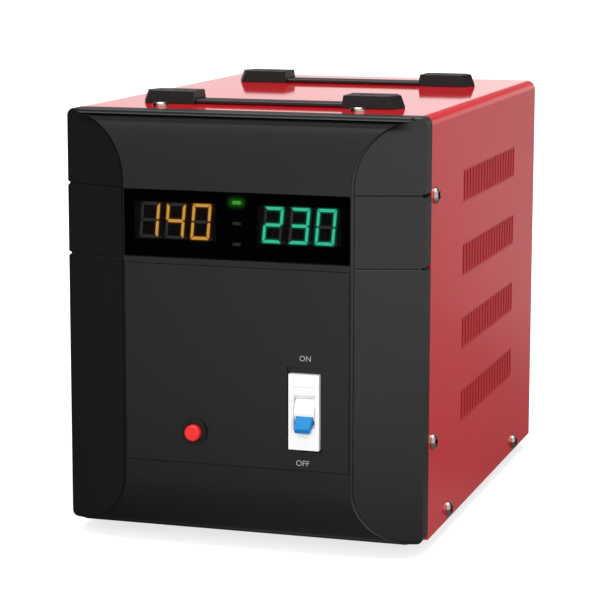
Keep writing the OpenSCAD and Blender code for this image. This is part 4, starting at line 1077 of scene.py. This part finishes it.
def room_level(tree, x, y):
    """The room in a level direction: its brightness in front, darkest at the left, and how much
    the direction points behind, where it is bright."""
    front = 0.01 + tree.ramp(x, -0.75, 0.15) * 1.15
    return front, tree.ramp(y, -0.1, 0.5) * tree.ramp(x, -0.92, -0.5)


def studio_floor():
    """A pale floor that a mirror sees as dim near the object and as the room farther out."""
    shell = bmesh.new()
    bmesh.ops.create_grid(shell, x_segments=2, y_segments=2, size=12.0)
    ground = link("studio_floor", mesh_from(shell, "studio_floor"))
    material, tree = new_material("pale_floor")
    rays = tree.outputs("ShaderNodeLightPath")
    place = tree.place()
    away = tree.add("ShaderNodeVectorMath", {"operation": "LENGTH"}, {0: place}, out=1)
    x, y, _ = tree.parts(tree.add("ShaderNodeVectorMath", {"operation": "NORMALIZE"}, {0: place}))
    front, behind = room_level(tree, x, y)
    near_front = front * (0.15 + tree.ramp(away, 0.22, 0.75) * 0.85)
    near_back = ((0.19 + tree.ramp(away, 0.2, 0.75) * 0.14)
                 * (1 - tree.ramp(x, 0.27, 0.42) * 0.4))
    in_gloss = near_front + behind * (near_back - near_front)
    seen = rays["Is Camera Ray"] + rays["Is Transmission Ray"]
    lift = seen * (0.72 + tree.ramp(away, 0.3, 0.9) * 0.5) + rays["Is Glossy Ray"] * in_gloss
    glow = tree.add("ShaderNodeEmission", None, {"Color": grey(1), "Strength": lift})
    pale = tree.mix(tree.noise(place, 6.0), grey(0.46), grey(0.5))
    paint = tree.add("ShaderNodeBsdfDiffuse", None,
                     {"Color": tree.mix(rays["Is Glossy Ray"], pale, grey(0.03))})
    tree.surface(tree.add("ShaderNodeAddShader", None, {0: paint, 1: glow}))
    set_material(ground, material)


def studio_world():
    """White to the camera and a plain level to matt surfaces; a mirror sees a bright strip behind
    that dims with height and to the right, a room dark at the front left, and a light overhead."""
    world = bpy.data.worlds.new("studio_world")
    bpy.context.scene.world = world
    world.use_nodes = True
    world.node_tree.nodes.clear()
    tree = Tree(world.node_tree)
    rays = tree.outputs("ShaderNodeLightPath")
    x, y, z = tree.parts(tree.add("ShaderNodeTexCoord", out=0))
    front, behind = room_level(tree, x, y)
    backdrop = ((0.84 + tree.ramp(x, -0.3, -0.18) * 0.18) * (1 - tree.ramp(z, 0.1, 0.2) * 0.82)
                * (1 - tree.ramp(x, 0.05, 0.25) * 0.5))
    in_gloss = front + behind * (backdrop - front) + tree.ramp(z, 0.75, 0.92) * 1.3
    level = (rays["Is Camera Ray"] + rays["Is Transmission Ray"]
             + rays["Is Glossy Ray"] * in_gloss + rays["Is Diffuse Ray"] * 0.6)
    back = tree.add("ShaderNodeBackground", None, {"Color": grey(1), "Strength": level})
    tree.add("ShaderNodeOutputWorld", None, {"Surface": back})


def lamp(name, place, target, size, power, mirrored):
    """A square area lamp aimed at a point, seen in gloss only if mirrored."""
    data = bpy.data.lights.new(name, "AREA")
    data.shape = "RECTANGLE"
    data.size = data.size_y = size
    data.energy = power
    thing = link(name, data)
    thing.location = place
    aim = Vector(target) - Vector(place)
    thing.rotation_euler = aim.to_track_quat("-Z", "Y").to_euler()
    thing.visible_glossy = mirrored


studio_floor()
studio_world()
lamp("front_lamp", (0.3, -2.2, 0.9), (0, 0, 0.12), 1.4, 27.5, False)
lamp("top_lamp", (0.0, 0.1, 2.4), (0, 0, 0.2), 1.8, 40.0, True)
bpy.context.scene.view_settings.view_transform = "Standard"
